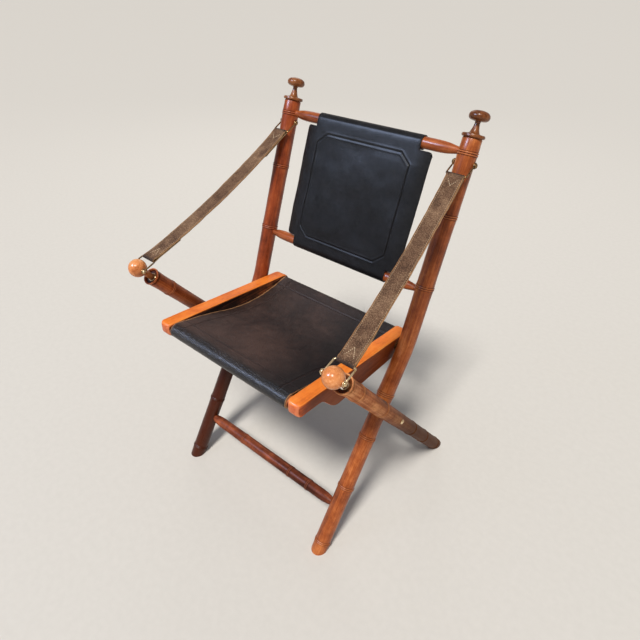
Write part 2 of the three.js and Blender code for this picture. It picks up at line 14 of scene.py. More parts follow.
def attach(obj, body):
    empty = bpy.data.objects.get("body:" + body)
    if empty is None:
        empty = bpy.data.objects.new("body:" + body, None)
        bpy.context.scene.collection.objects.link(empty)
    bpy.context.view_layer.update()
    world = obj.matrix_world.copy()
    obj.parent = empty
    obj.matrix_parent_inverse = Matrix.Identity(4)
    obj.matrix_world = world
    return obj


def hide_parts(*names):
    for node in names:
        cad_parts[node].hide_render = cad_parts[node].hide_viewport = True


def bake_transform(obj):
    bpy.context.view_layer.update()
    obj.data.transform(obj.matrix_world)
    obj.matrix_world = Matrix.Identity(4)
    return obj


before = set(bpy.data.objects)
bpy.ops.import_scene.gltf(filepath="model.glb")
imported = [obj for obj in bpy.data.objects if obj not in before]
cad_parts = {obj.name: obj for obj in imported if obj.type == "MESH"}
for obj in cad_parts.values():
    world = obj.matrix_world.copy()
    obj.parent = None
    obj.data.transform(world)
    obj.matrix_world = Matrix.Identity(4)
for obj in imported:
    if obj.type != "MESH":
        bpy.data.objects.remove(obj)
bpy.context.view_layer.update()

MM = 0.001

# %% [markdown]
# The chair is two crossed frames. The back posts start at the front feet, bend at the seat and lean
# back. The arm legs start at the rear feet and rise to the arm balls in front. Every piece is placed
# by how far along one of these two lines it sits, so the lines come first.

# %% The two crossed lines, in millimetres
POST_X = 219.4
LEG_X = 261.0
POST_RADIUS = 18.2
LEG_RADIUS = 17.0
POST_BEND = 516.2
POST_LOW_TILT = math.radians(31.61)
POST_HIGH_TILT = math.radians(17.64)
LEG_TILT = math.radians(40.97)
LEG_FOOT_Y = 250.71
FOOT_SPREAD = 462.9
LEG_FOOT = Vector((0, LEG_FOOT_Y, 0))
POST_FOOT = Vector((0, LEG_FOOT_Y - FOOT_SPREAD, 0))

LOW_LINE = Vector((0, math.sin(POST_LOW_TILT), math.cos(POST_LOW_TILT)))
HIGH_LINE = Vector((0, math.sin(POST_HIGH_TILT), math.cos(POST_HIGH_TILT)))
LEG_LINE = Vector((0, -math.sin(LEG_TILT), math.cos(LEG_TILT)))


def on_post(along):
    """The point of a back post's axis this far along it from the floor, with X left at 0."""
    if along <= POST_BEND:
        return POST_FOOT + LOW_LINE * along
    return POST_FOOT + LOW_LINE * POST_BEND + HIGH_LINE * (along - POST_BEND)


def on_leg(along):
    """The point of an arm leg's axis this far along it from the floor, with X left at 0."""
    return LEG_FOOT + LEG_LINE * along


print("top of a back post:", tuple(round(value, 1) for value in on_post(941)))

# %% [markdown]
# The photograph was taken from above and from the chair's front right. A camera fitted to measured
# points gives its place, its two angles, a slight roll and a small shift of the picture.

# %% Camera
CAMERA_PLACE = Vector((0.6123, -0.7351, 1.1024))
YAW = math.radians(40.47)
PITCH = math.radians(-37.23)
ROLL = math.radians(0.73)
LENS = 28.44
PICTURE_SHIFT = (0.0234, 0.0338)

ahead = Vector((-math.sin(YAW) * math.cos(PITCH), math.cos(YAW) * math.cos(PITCH), math.sin(PITCH)))
level = Vector((math.cos(YAW), math.sin(YAW), 0))
upward = level.cross(ahead)
side = level * math.cos(ROLL) + upward * math.sin(ROLL)
top = upward * math.cos(ROLL) - level * math.sin(ROLL)

bpy.ops.object.select_all(action="DESELECT")
bpy.ops.object.camera_add()
camera = bpy.context.object
camera.name = "camera"
camera.matrix_world = Matrix.Translation(CAMERA_PLACE) @ Matrix((side, top, -ahead)).transposed().to_4x4()
camera.data.sensor_width = 36
camera.data.lens = LENS
camera.data.shift_x, camera.data.shift_y = PICTURE_SHIFT
camera.data.clip_start = 0.05
camera.data.clip_end = 60
bpy.context.scene.camera = camera
print("camera looks along", tuple(round(value, 2) for value in ahead))

# %% [markdown]
# Shader maths reads best as plain arithmetic. A small class holds one output of a node, and adding or
# multiplying two of them adds the Math node that does it.

# %% Signals
class Signal:
    """One output of a node, so that maths on it can be written as in plain Python."""

    def __init__(self, finish, socket):
        self.finish = finish
        self.socket = socket

    def maths(self, operation, first, second):
        return self.finish.node("ShaderNodeMath", {"operation": operation}, {0: first, 1: second})

    def __add__(self, other):
        return self.maths("ADD", self, other)

    def __radd__(self, other):
        return self.maths("ADD", other, self)

    def __sub__(self, other):
        return self.maths("SUBTRACT", self, other)

    def __rsub__(self, other):
        return self.maths("SUBTRACT", other, self)

    def __mul__(self, other):
        return self.maths("MULTIPLY", self, other)

    def __rmul__(self, other):
        return self.maths("MULTIPLY", other, self)

    def size(self):
        return self.maths("ABSOLUTE", self, 0)

    def most(self, other):
        return self.maths("MAXIMUM", self, other)

    def rise(self, low, high):
        """0 below low and 1 above high, with a soft step between. It falls where high is the smaller."""
        settings = {"interpolation_type": "SMOOTHSTEP"}
        if low < high:
            return self.finish.node("ShaderNodeMapRange", settings, {0: self, 1: low, 2: high, 3: 0, 4: 1})
        return self.finish.node("ShaderNodeMapRange", settings, {0: self, 1: high, 2: low, 3: 1, 4: 0})


# %% [markdown]
# A finish is one material. One method makes a node of any kind and feeds its inputs, and short methods
# built on it stand for the few nodes that wood, brass and leather need.

# %% Finishes
class Finish:
    """A material with its nodes, built up from signals."""

    def __init__(self, name):
        self.material = bpy.data.materials.new(name)
        self.material.use_nodes = True
        self.tree = self.material.node_tree
        self.shader = self.tree.nodes["Principled BSDF"]

    def node(self, kind, settings=None, inputs=None, output=0):
        made = self.tree.nodes.new(kind)
        for name, value in (settings or {}).items():
            if name == "stops":
                while len(made.color_ramp.elements) < len(value):
                    made.color_ramp.elements.new(1)
                for element, (place, colour) in zip(made.color_ramp.elements, value):
                    element.position = place
                    element.color = (*colour, 1)
            else:
                setattr(made, name, value)
        for name, value in (inputs or {}).items():
            self.feed(made.inputs[name], value)
        return Signal(self, made.outputs[output])

    def feed(self, socket, value):
        if isinstance(value, Signal):
            self.tree.links.new(value.socket, socket)
        elif socket.type == "RGBA" and len(value) == 3:
            socket.default_value = (*value, 1)
        else:
            socket.default_value = value

    def attribute(self, name, output="Fac"):
        return self.node("ShaderNodeAttribute", {"attribute_name": name}, output=output)

    def scaled(self, vector, factors):
        return self.node("ShaderNodeVectorMath", {"operation": "MULTIPLY"}, {0: vector, 1: factors})

    def noise(self, vector, factors, detail=3, roughness=0.55, distortion=0):
        inputs = {"Vector": self.scaled(vector, factors), "Scale": 1, "Detail": detail}
        inputs |= {"Roughness": roughness, "Distortion": distortion}
        return self.node("ShaderNodeTexNoise", None, inputs)

    def cell_edges(self, vector, factors):
        inputs = {"Vector": self.scaled(vector, factors), "Scale": 1}
        return self.node("ShaderNodeTexVoronoi", {"feature": "DISTANCE_TO_EDGE"}, inputs)

    def ramp(self, signal, stops):
        return self.node("ShaderNodeValToRGB", {"stops": stops}, {"Fac": signal})

    def mix(self, share, first, second):
        inputs = {0: share, 6: first, 7: second}
        return self.node("ShaderNodeMix", {"data_type": "RGBA"}, inputs, output=2)

    def bumps(self, height, strength, distance):
        inputs = {"Height": height, "Strength": strength, "Distance": distance}
        return self.node("ShaderNodeBump", None, inputs)

    def close(self, **sockets):
        for name, value in sockets.items():
            self.feed(self.shader.inputs[name.replace("_", " ").title().replace("Ior", "IOR")], value)
        return self.material


def tone(red, green, blue):
    """A colour as seen on a screen, 0 to 255, turned into the linear values that shaders use."""
    shares = [value / 255 for value in (red, green, blue)]
    return tuple(value / 12.92 if value <= 0.04045 else ((value + 0.055) / 1.055) ** 2.4 for value in shares)


# %% [markdown]
# The wood is varnished and old: orange where it is sanded flat, red-brown on the turned pieces. Its
# grain has to run along each piece, also round the bend of a post. So each piece remembers, in an
# attribute called grain, where its points were while it was still straight on the lathe. A second
# attribute called groove is 1 in the cut lines and hollows, which it paints dark as dirt and painted
# shade, and -1 on ridges, which it paints pale as rubbed varnish and a painted highlight. Lathe marks
# are a noise that changes quickly along a piece and slowly across it.

# %% Wood finish
def wood(name, dark, middle, light, gloss=0.3, figure=1.0, lathe=0.0, scuffs=0.5, painted_shade=None, shine=0.27):
    """A varnished wood, with an optional painted shade: where it darkens, in metres along the piece, and by
    how much.
    """
    finish = Finish(name)
    grain = finish.attribute("grain", "Vector")
    groove = finish.attribute("groove")
    streaks = finish.noise(grain, (210, 210, 7), 4, 0.6, 0.6)
    bands = finish.noise(grain, (60, 60, 3), 3, 0.55, 0.9)
    pores = finish.noise(grain, (1300, 1300, 40), 2, 0.5)
    clouds = finish.noise(grain, (14, 14, 9), 2, 0.5)
    turning = finish.noise(grain, (26, 26, 620), 3, 0.6)
    blotches = finish.noise(grain, (40, 40, 30), 4, 0.7)
    amount = (streaks - 0.5) * 0.8 * figure + (bands - 0.5) * 0.75 * figure + (pores - 0.5) * 0.3
    amount = amount + (clouds - 0.5) * 0.7 + (blotches - 0.5) * 0.7 + (turning - 0.5) * lathe + 0.5
    colour = finish.ramp(amount, [(0.22, dark), (0.5, middle), (0.8, light)])
    pale = tuple(min(1, 1.15 * value + 0.04) for value in light)
    scratches = finish.noise(grain, (300, 300, 60), 4, 0.7, 1.2).rise(0.63, 0.7)
    rubs = blotches.rise(0.56, 0.7)
    # Pale: real scratches, and on ridges rubbed varnish with a painted highlight.
    colour = finish.mix(scratches * rubs * scuffs + (groove * -0.3).most(0), colour, pale)
    # Dark: dirt and painted shade in the cut lines and hollows.
    colour = finish.mix(groove.most(0) * 0.8, colour, tuple(0.2 * value for value in dark))
    # Painted shade: the wood darkens over a span along the piece, where shade falls on it in the chair.
    if painted_shade:
        start, end, depth = painted_shade
        along = finish.node("ShaderNodeSeparateXYZ", None, {0: grain}, output=2)
        shaded = (along + (clouds - 0.5) * 0.55 * abs(start - end)).rise(start, end) * depth
        colour = finish.mix(shaded, colour, tuple(0.16 * value for value in middle))
    roughness = (pores - 0.5) * 0.2 + rubs * 0.12 + groove.size() * 0.15 + gloss
    height = streaks * 0.2 + pores * 0.35 + turning * lathe - scratches * 0.2
    return finish.close(
        base_color=colour,
        roughness=roughness,
        normal=finish.bumps(height, 0.3, 0.0006),
        specular_ior_level=shine,
        coat_weight=0.25 * shine,
        coat_roughness=0.15,
    )


# %% [markdown]
# The turned pieces have aged apart. The arm balls are rubbed almost blond and the stretchers have stayed
# dark. A painted shade darkens the left post and both legs towards the floor.

# %% Finishes of the turned pieces
post_wood = wood(
    "post_varnish", tone(96, 42, 18), tone(156, 80, 38), tone(208, 126, 68), figure=0.6, scuffs=0.8,
)
left_post_wood = wood(
    "old_post_varnish", tone(92, 36, 16), tone(146, 66, 32), tone(190, 102, 54),
    figure=0.5, painted_shade=(0.5, 0.36, 0.95),
)
finial_wood = wood(
    "finial_varnish", tone(62, 32, 16), tone(116, 66, 34), tone(160, 102, 60),
    gloss=0.28, figure=0.6, lathe=0.3,
)
leg_wood = wood(
    "leg_varnish", tone(96, 48, 24), tone(180, 104, 60), tone(240, 172, 116),
    gloss=0.42, figure=0.75, lathe=0.35, scuffs=1.0, painted_shade=(0.66, 0.3, 0.93), shine=0.025,
)
left_leg_wood = wood(
    "old_leg_varnish", tone(92, 38, 18), tone(160, 80, 40), tone(204, 118, 68),
    gloss=0.38, figure=0.9, lathe=0.5, scuffs=0.6, painted_shade=(0.67, 0.56, 0.6), shine=0.16,
)
ball_wood = wood(
    "ball_varnish", tone(164, 90, 46), tone(220, 140, 84), tone(246, 184, 130),
    gloss=0.24, figure=0.5, lathe=0.45,
)
bar_wood = wood(
    "bar_varnish", tone(100, 44, 20), tone(152, 78, 38), tone(190, 112, 64), gloss=0.32, figure=0.9,
)
stretcher_wood = wood(
    "stretcher_varnish", tone(54, 23, 14), tone(106, 52, 33), tone(172, 94, 60),
    gloss=0.42, figure=0.6, lathe=0.3, scuffs=0.9, shine=0.09,
)
print("finishes of the turned pieces:", sorted(set(bpy.data.materials.keys()) - {"Material"}))

# %% [markdown]
# A seat rail shows four faces of one board, and each has its own finish. The top is bleached orange.
# The outer side carries painted shade: it is darker all over, and darker still behind the nose. The nose
# is rubbed, and the face towards the leather is bare wood, darkened further by painted shade.

# %% Finishes of the seat rails
rail_wood = wood(
    "rail_varnish", tone(198, 94, 30), tone(236, 126, 42), tone(248, 152, 62),
    gloss=0.42, figure=0.5, scuffs=0.3,
)
# Painted shade: the rail wood darkened for the outer side, and darker behind the nose.
shaded_side_wood = wood(
    "rail_side_painted_shade", tone(140, 58, 22), tone(204, 98, 44), tone(232, 136, 76),
    gloss=0.4, figure=0.9, scuffs=0.6, painted_shade=(-0.262, -0.222, 0.76), shine=0.1,
)
end_wood = wood(
    "rail_end_varnish", tone(160, 70, 34), tone(208, 106, 60), tone(240, 150, 102),
    gloss=0.34, figure=0.6, scuffs=0.6,
)
# Bare wood, darkened further by painted shade, for the face towards the leather.
shaded_inner_wood = wood(
    "bare_wood_painted_shade", tone(34, 17, 11), tone(82, 43, 26), tone(176, 98, 50),
    gloss=0.7, figure=1.5, scuffs=1,
)
print("finishes of the seat rails:", [made.name for made in (rail_wood, shaded_side_wood, end_wood, shaded_inner_wood)])

# %% [markdown]
# The metal is thin brass, pale where it is rubbed and brown where it is not. A soft noise moves both
# the colour and the roughness between the two.

# %% Brass finish
def brass(name, dull, bright):
    finish = Finish(name)
    place = finish.node("ShaderNodeTexCoord", output="Object")
    patches = finish.noise(place, (160, 160, 160), 4, 0.65)
    specks = finish.noise(place, (900, 900, 900), 2)
    rubbed = (patches + (specks - 0.5) * 0.35).rise(0.36, 0.62)
    return finish.close(
        base_color=finish.mix(rubbed, dull, bright),
        metallic=0.9,
        roughness=0.46 - rubbed * 0.2,
        normal=finish.bumps(specks, 0.12, 0.0003),
    )


pale_brass = brass("pale_brass", tone(176, 140, 92), tone(248, 224, 180))
dark_brass = brass("dark_brass", tone(76, 56, 38), tone(168, 132, 88))
print("brass finishes:", pale_brass.name, dark_brass.name)

# %% [markdown]
# Leather has a fine pebbled grain, finer creases where it bends, and a raw edge of another colour.
# Every hide carries an attribute called hide: the place of each point on the flat cut, in metres, so
# grain, tooled lines and wear follow the leather round its bars. Groove is 1 in tooled lines. The polish
# attribute is 1 where hands and knees have rubbed the hide black and shiny, and on the straps also where
# they turn round a wire, where that black is painted shade. It is -1 where the hide is frayed to tan.
# Another attribute paints light: above 0 a painted sheen lightens the colour, below 0 a painted shade
# darkens it. A polished hide also has a thin clear coat, in patches, which gives black leather its
# uneven sheen. Mottle is for the rough side of a hide, which is spotted light and dark in patches of a
# few millimetres.

# %% Leather finish
def leather(
    name, dark, middle, light, black,
    grain_size=850, gloss=0.4, wear=0.8, raised=0.7, mottle=0.1, shine=0.4, sheen=0.0,
):
    """A worn leather. Black is the colour of its polished places."""
    finish = Finish(name)
    hide = finish.attribute("hide", "Vector")
    groove = finish.attribute("groove")
    polish = finish.attribute("polish")
    faded = finish.attribute("faded")
    cloudy = (finish.noise(hide, (8, 8, 8), 3, 0.55, 0.4) - 0.5) * 1.2 + 0.5
    blotches = finish.noise(hide, (55, 55, 55), 4, 0.65)
    spots = finish.noise(hide, (520, 420, 520), 5, 0.7)
    pebbles = finish.cell_edges(hide, (grain_size,) * 3).rise(0, 0.28)
    fine = finish.noise(hide, (grain_size * 2.2,) * 3, 2)
    creases = (finish.noise(hide, (42, 90, 42), 5, 0.7, 1.6) - 0.5).size().rise(0.02, 0)
    # The painted light attribute adds a painted sheen above 0 and a painted shade below 0.
    amount = cloudy * 0.7 + blotches * 0.45 - 0.075 + (spots - 0.5) * mottle + faded
    colour = finish.ramp(amount, [(0.3, dark), (0.52, middle), (0.76, light)])
    scuffs = finish.noise(hide, (120, 260, 120), 5, 0.75, 0.8).rise(0.63, 0.76)
    colour = finish.mix(scuffs * 0.4 * wear, colour, tuple(value * 1.9 + 0.02 for value in light))
    colour = finish.mix((1 - pebbles) * 0.35, colour, tuple(0.5 * value for value in dark))
    colour = finish.mix(creases * 0.3 * wear, colour, dark)
    # Black where polished; at the straps' turns round the wire this black is painted shade.
    colour = finish.mix(polish.most(0) * 0.85, colour, black)
    frayed = ((0 - polish).most(0) + (blotches - 0.5) * 1.2 - 0.45).rise(0, 0.3) * polish.rise(0, -0.3)
    colour = finish.mix(frayed * 0.75, colour, tone(178, 130, 86))
    colour = finish.mix(groove * 0.8, colour, tuple(0.3 * value for value in dark))
    roughness = blotches * 0.22 + (1 - pebbles) * 0.15 + scuffs * 0.15 + (gloss - 0.11) - polish * 0.17
    height = pebbles * 0.5 + fine * 0.3 - creases * 0.5 + blotches * 0.9 + spots * mottle
    return finish.close(
        base_color=colour,
        roughness=roughness,
        normal=finish.bumps(height, raised, 0.0005),
        specular_ior_level=shine,
        coat_weight=(polish.most(0) + 0.2) * (blotches + 0.5) * sheen if sheen else 0,
        coat_roughness=0.38,
    )


def plain_fibre(name, dark, light, size):
    """A finish for cut leather edges and thread: two colours in short streaks."""
    finish = Finish(name)
    place = finish.node("ShaderNodeTexCoord", output="Object")
    streaks = finish.noise(place, (size, size, size), 4, 0.7)
    return finish.close(
        base_color=finish.ramp(streaks, [(0.3, dark), (0.7, light)]),
        roughness=0.8 + (streaks - 0.5) * 0.2,
        normal=finish.bumps(streaks, 0.3, 0.0004),
    )


# %% [markdown]
# The seat is brown and the back is nearly black. The straps show the rough side of their leather. Cut
# edges are raw on the seat and the straps and dyed on the back, and there are three colours of thread.

# %% Finishes of the leather and the thread
seat_hide = leather(
    "seat_hide", tone(27, 17, 15), tone(53, 38, 34), tone(84, 62, 55), tone(15, 15, 17),
    gloss=0.38, shine=0.34, sheen=0.12,
)
back_hide = leather(
    "back_hide", tone(11, 10, 11), tone(22, 21, 24), tone(40, 39, 46), tone(13, 13, 14),
    gloss=0.36, shine=0.1, sheen=0.34,
)
strap_hide = leather(
    "strap_hide", tone(56, 38, 27), tone(120, 89, 67), tone(186, 154, 124), tone(34, 28, 27),
    grain_size=700, gloss=0.72, wear=1, raised=1, mottle=1.15, shine=0.2,
)
raw_edge = plain_fibre("raw_edge", tone(128, 96, 62), tone(196, 164, 122), 420)
dark_edge = plain_fibre("dark_edge", tone(30, 24, 22), tone(74, 58, 48), 420)
pale_thread = plain_fibre("pale_thread", tone(184, 160, 128), tone(232, 212, 180), 900)
brown_thread = plain_fibre("brown_thread", tone(150, 124, 94), tone(206, 182, 146), 900)
dark_thread = plain_fibre("dark_thread", tone(50, 26, 22), tone(92, 54, 46), 900)
print("all finishes:", len(bpy.data.materials))

# %% [markdown]
# Modelling works on what is selected, so a helper leaves just one object chosen. Modifiers are
# applied as soon as they are added, because the finished meshes are what is kept.

# %% Helpers for one piece
def only(piece):
    """Select this piece alone and make it the active one."""
    bpy.ops.object.select_all(action="DESELECT")
    piece.select_set(True)
    bpy.context.view_layer.objects.active = piece


def applied(piece, kind, **settings):
    """Add a modifier with these settings and apply it."""
    only(piece)
    modifier = piece.modifiers.new(kind.lower(), kind)
    for name, value in settings.items():
        setattr(modifier, name, value)
    bpy.ops.object.modifier_apply(modifier=modifier.name)


def tidied(piece, doubles=True):
    """Merge points that lie on each other and turn all faces outwards."""
    only(piece)
    bpy.ops.object.mode_set(mode="EDIT")
    bpy.ops.mesh.select_all(action="SELECT")
    if doubles:
        bpy.ops.mesh.remove_doubles(threshold=0.000002)
    bpy.ops.mesh.normals_make_consistent(inside=False)
    bpy.ops.object.mode_set(mode="OBJECT")


def smoothed(piece, angle=38):
    only(piece)
    bpy.ops.object.shade_smooth_by_angle(angle=math.radians(angle))


def points_of(piece):
    places = np.empty(len(piece.data.vertices) * 3, np.float32)
    piece.data.vertices.foreach_get("co", places)
    return places.reshape(-1, 3)


# %% [markdown]
# Grain, grooves and wear are kept in the mesh as attributes, one value for each point or face, and the
# finishes read them. The grain is moved on for each piece, so that they don't look cut from one plank.

# %% Helpers for notes on a mesh
def note(piece, name, values, kind="FLOAT", domain="POINT"):
    """Keep one value for each point or face of the piece under this attribute name."""
    found = piece.data.attributes.get(name) or piece.data.attributes.new(name, kind, domain)
    field = "vector" if kind == "FLOAT_VECTOR" else "value"
    found.data.foreach_set(field, np.asarray(values, np.float32).ravel())


GRAIN_SHIFT = np.array([0.37, 0.23, 0])


def note_grain(piece, fibre=2, shift=0.0):
    """Remember where each point is now, with the fibre direction last."""
    places = points_of(piece)
    order = [axis for axis in range(3) if axis != fibre] + [fibre]
    note(piece, "grain", places[:, order] + shift * GRAIN_SHIFT, "FLOAT_VECTOR")


# %% [markdown]
# A finished piece lies in its place while its object stays at the origin, unturned and unscaled. So a
# helper moves the object and keeps that in the mesh at once. Most pieces of the left side are made from
# those of the right side, as a copy or as a mirror image.

# %% Helpers for placing and fitting
def settled(piece, place=(0, 0, 0), turn=(0, 0, 0), scale=(1, 1, 1)):
    """Put the piece in its place, given in millimetres and radians, and keep that in its mesh."""
    only(piece)
    piece.location = Vector(place) * MM
    piece.rotation_euler = turn
    piece.scale = scale
    bpy.ops.object.transform_apply(location=True, rotation=True, scale=True)
    return piece


def copied(piece, name, shift=0.0):
    """A copy with its own mesh, whose wood grain is taken from another plank."""
    twin = piece.copy()
    twin.data = piece.data.copy()
    twin.name = name
    bpy.context.collection.objects.link(twin)
    if shift and "grain" in twin.data.attributes:
        grain = twin.data.attributes["grain"]
        values = np.empty(len(twin.data.vertices) * 3, np.float32)
        grain.data.foreach_get("vector", values)
        note(twin, "grain", values.reshape(-1, 3) + shift * GRAIN_SHIFT, "FLOAT_VECTOR")
    return twin


def mirrored(piece, name, shift=1.0):
    """The piece for the other side of the chair, with its faces turned outwards again."""
    twin = settled(copied(piece, name, shift), scale=(-1, 1, 1))
    tidied(twin, doubles=False)
    return twin


def fitted(piece, node, body, slot, *materials):
    """Give the piece its finish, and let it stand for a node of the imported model."""
    if materials:
        piece.data.materials.clear()
        for material in materials:
            piece.data.materials.append(material)
    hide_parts(node)
    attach(piece, body)


# %% [markdown]
# Most of the chair is turned on a lathe. A lathe piece is drawn as a chain of points, given by radius
# and distance along the axis, and the chain is then spun round. The third number of a point is kept
# as the groove attribute: above 0 it paints the place dark, as dirt and painted shade, and below 0
# pale, as rubbed varnish and a painted highlight.

# %% The lathe
TURNED_SIDES = 56


def chained(name, points):
    """A new object in edit mode: a chain of edges through these points, in millimetres."""
    bpy.ops.object.select_all(action="DESELECT")
    bpy.ops.mesh.primitive_plane_add(size=MM)
    piece = bpy.context.object
    piece.name = name
    bpy.ops.object.mode_set(mode="EDIT")
    bpy.ops.mesh.merge(type="CENTER")
    bpy.ops.transform.translate(value=Vector(points[0]) * MM)
    for start, end in zip(points, points[1:]):
        step = (Vector(end) - Vector(start)) * MM
        bpy.ops.mesh.extrude_region_move(TRANSFORM_OT_translate={"value": step})
    return piece


def turned(name, profile, sides=TURNED_SIDES, closed=False, shift=0.0):
    """A piece turned on the lathe from its profile. A closed profile makes a ring."""
    profile = [(*point, 0)[:3] for point in profile]
    if closed:
        profile.append(profile[0])
    piece = chained(name, [(radius, 0, along) for radius, along, _ in profile])
    bpy.ops.mesh.select_all(action="SELECT")
    bpy.ops.mesh.spin(steps=sides, angle=2 * math.pi, center=(0, 0, 0), axis=(0, 0, 1))
    bpy.ops.object.mode_set(mode="OBJECT")
    tidied(piece)
    places = points_of(piece) / MM
    drawn = np.array(profile, float)
    radii = np.hypot(places[:, 0], places[:, 1])
    gaps = (radii[:, None] - drawn[None, :, 0]) ** 2 + (places[:, 2][:, None] - drawn[None, :, 1]) ** 2
    note(piece, "groove", drawn[gaps.argmin(1), 2])
    note_grain(piece, shift=shift)
    smoothed(piece)
    return piece


# %% [markdown]
# The bamboo look comes from rings like the joints of a cane: fine ridges with cut lines between
# them, on wood that swells a little towards each joint. One list of offsets draws them all. A groove
# number below 0 marks a ridge, painted pale as rubbed varnish with a painted highlight; above 0 it
# marks a cut line, painted dark as dirt and painted shade.

# %% Rings like bamboo joints
JOINT = [
    (-26, 0.0, 0), (-14, 0.25, 0), (-5.6, 0.5, 0), (-4.4, 0.5, 0.3), (-3.9, -0.2, 1), (-3.3, 0.6, 0.2),
    (-2.7, 1.35, -1), (-1.9, 1.65, -1), (-1.1, 1.3, -0.6), (-0.5, 0.4, 0.6), (0, 0.0, 1), (0.5, 0.4, 0.6),
    (1.1, 1.3, -0.6), (1.9, 1.65, -1), (2.7, 1.35, -1), (3.3, 0.6, 0.2), (3.9, -0.2, 1), (4.4, 0.5, 0.3),
    (5.6, 0.5, 0), (14, 0.25, 0), (26, 0.0, 0),
]


def joint(radius, along, height=1.0, reach=26):
    """The points of one ring on a piece of this radius, from reach before it to reach after it."""
    near = [point for point in JOINT if abs(point[0]) <= reach]
    return [(radius + rise * height, along + offset, groove) for offset, rise, groove in near]


# %% [markdown]
# A back post is one long turning with six joints and a foot ring. It is turned straight. The bend at
# the seat is made like a bent cane: the part above each of a few stations turns by a small angle,
# from the top station down. At last the foot is cut level with the floor.

# %% Back posts
POST_TOP = 941
POST_JOINTS = [168.2, 297.4, 404.3, 652.3, 797.9]
POST_FOOT_RING, POST_TOP_RING = 21, 914
SHORT_REACH = 14
BEND_REACH = 24
BEND_STATIONS = 9


def bend_post(piece):
    """Lean the upper part of a straight post forwards on the lathe, a little at each station."""
    angle = (POST_LOW_TILT - POST_HIGH_TILT) / BEND_STATIONS
    for offset in np.linspace(BEND_REACH, -BEND_REACH, BEND_STATIONS):
        height = (POST_BEND + offset) * MM
        places = points_of(piece)
        above = places[:, 2] > height
        turn = np.array(Matrix.Rotation(angle, 3, "X"))
        centre = np.array([0, 0, height])
        places[above] = (places[above] - centre) @ turn.T + centre
        piece.data.vertices.foreach_set("co", places.ravel())
    piece.data.update()


def cut_at_floor(piece):
    """Cut the piece level with the floor and close the cut."""
    only(piece)
    bpy.ops.object.mode_set(mode="EDIT")
    bpy.ops.mesh.select_all(action="SELECT")
    bpy.ops.mesh.bisect(plane_co=(0, 0, 0), plane_no=(0, 0, 1), use_fill=True, clear_inner=True)
    bpy.ops.object.mode_set(mode="OBJECT")


def post_profile():
    """The post before it is bent, with close points where the bend comes."""
    foot = [(0, -14), (POST_RADIUS, -14)]
    top = [(POST_RADIUS, 929), (POST_RADIUS, POST_TOP - 2), (POST_RADIUS - 1.2, POST_TOP), (0, POST_TOP)]
    points = joint(POST_RADIUS, POST_FOOT_RING, 0.9, SHORT_REACH)
    points += joint(POST_RADIUS, POST_TOP_RING, 1, SHORT_REACH)
    for along in POST_JOINTS:
        points += joint(POST_RADIUS, along)
    points += [(POST_RADIUS, POST_BEND + offset) for offset in np.linspace(-30, 30, 21)]
    points.sort(key=lambda point: point[1])
    return foot + points + top


post = turned("post_right", post_profile())
bend_post(post)
settled(post, POST_FOOT + Vector((POST_X, 0, 0)), (-POST_LOW_TILT, 0, 0))
cut_at_floor(post)
smoothed(post)
post_left = settled(copied(post, "post_left", 2.0), (-2 * POST_X, 0, 0))
fitted(post, "right_back_post", "back_frame", "post_wood", post_wood)
fitted(post_left, "left_back_post", "back_frame", "post_wood", left_post_wood)
print("post faces:", len(post.data.polygons))

# %% [markdown]
# A finial stands on each post: a thin flange wider than the post, a hollow cone that narrows to a
# neck, and a thick flat knob with a round edge and a slightly domed top.

# %% Finials
# Groove numbers under the flange and under the knob darken these hollows with painted shade.
FINIAL = [
    (0, -14), (4.4, -14), (4.4, 0.3), (18.6, 0.3, 1), (20.4, 0.7), (21.5, 1.9), (21.6, 4.3), (20.9, 5.9),
    (19.4, 6.7), (14.4, 7.1, 0.2), (11.2, 7.5, 0.5), (9.8, 8.4), (8.6, 10.2), (7.6, 12.6), (6.7, 15.4),
    (5.9, 18.4), (5.2, 21.4), (4.8, 24.2), (4.8, 26.4), (5.6, 28.0, 0.3), (8.4, 28.5, 0.6), (12.2, 28.9),
    (15.6, 30.1), (18.0, 32.2), (19.2, 35.0), (19.2, 37.8), (18.2, 40.4), (16.2, 42.6), (13.4, 44.4),
    (9.8, 45.6), (5.2, 46.3), (0, 46.5),
]
finial = turned("finial_right", FINIAL, shift=3.0)
settled(finial, on_post(POST_TOP) + Vector((POST_X, 0, 0)), (-POST_HIGH_TILT, 0, 0))
finial_left = settled(copied(finial, "finial_left", 1.0), (-2 * POST_X, 0, 0))
fitted(finial, "right_finial", "back_frame", "post_wood", finial_wood)
fitted(finial_left, "left_finial", "back_frame", "post_wood", finial_wood)
print("finial faces:", len(finial.data.polygons))

# %% [markdown]
# An arm leg is straight, with fainter rings. Behind a cut groove its front end opens into a shallow
# cup with a thin lip, and the ball stands in the cup on a short neck.

# %% Arm legs, balls and collars
RIM = 730
BALL = 769.7
BALL_RADIUS = 19.3
LEG_JOINTS = [161, 288, 520, 668]
LEG_FOOT_RING = 27
# Groove numbers in the cut behind the lip and inside the cup darken them: dirt and painted shade.
LEG_CUP = [
    (0.3, -22), (0.7, -13), (0.4, -9.4, 0.3), (-1.6, -8.4, 1), (-1.7, -6.6, 1), (1.2, -5.4), (2.1, -3.6),
    (2.2, -1.4), (1.5, 0, -1), (0.4, 0.1, -1), (-0.8, -0.7), (-1.6, -2.6, 0.3), (-2.2, -6.2, 0.8),
    (-3.4, -7, 1),
]
CUP_FLOOR = RIM - 7
NECK_FOOT = RIM - BALL - 6.6
# Groove numbers on the neck darken it with painted shade, where it stands in the cup.
BALL_NECK = [(0, NECK_FOOT), (6.9, NECK_FOOT, 1), (7, -38, 0.5), (7, -24), (7.4, -18.2, 0.6)]
COLLAR = [(7.3, 0.3), (9.2, 0.3), (9.5, 1.0), (9.2, 2.2), (8.4, 2.7), (7.3, 2.5)]


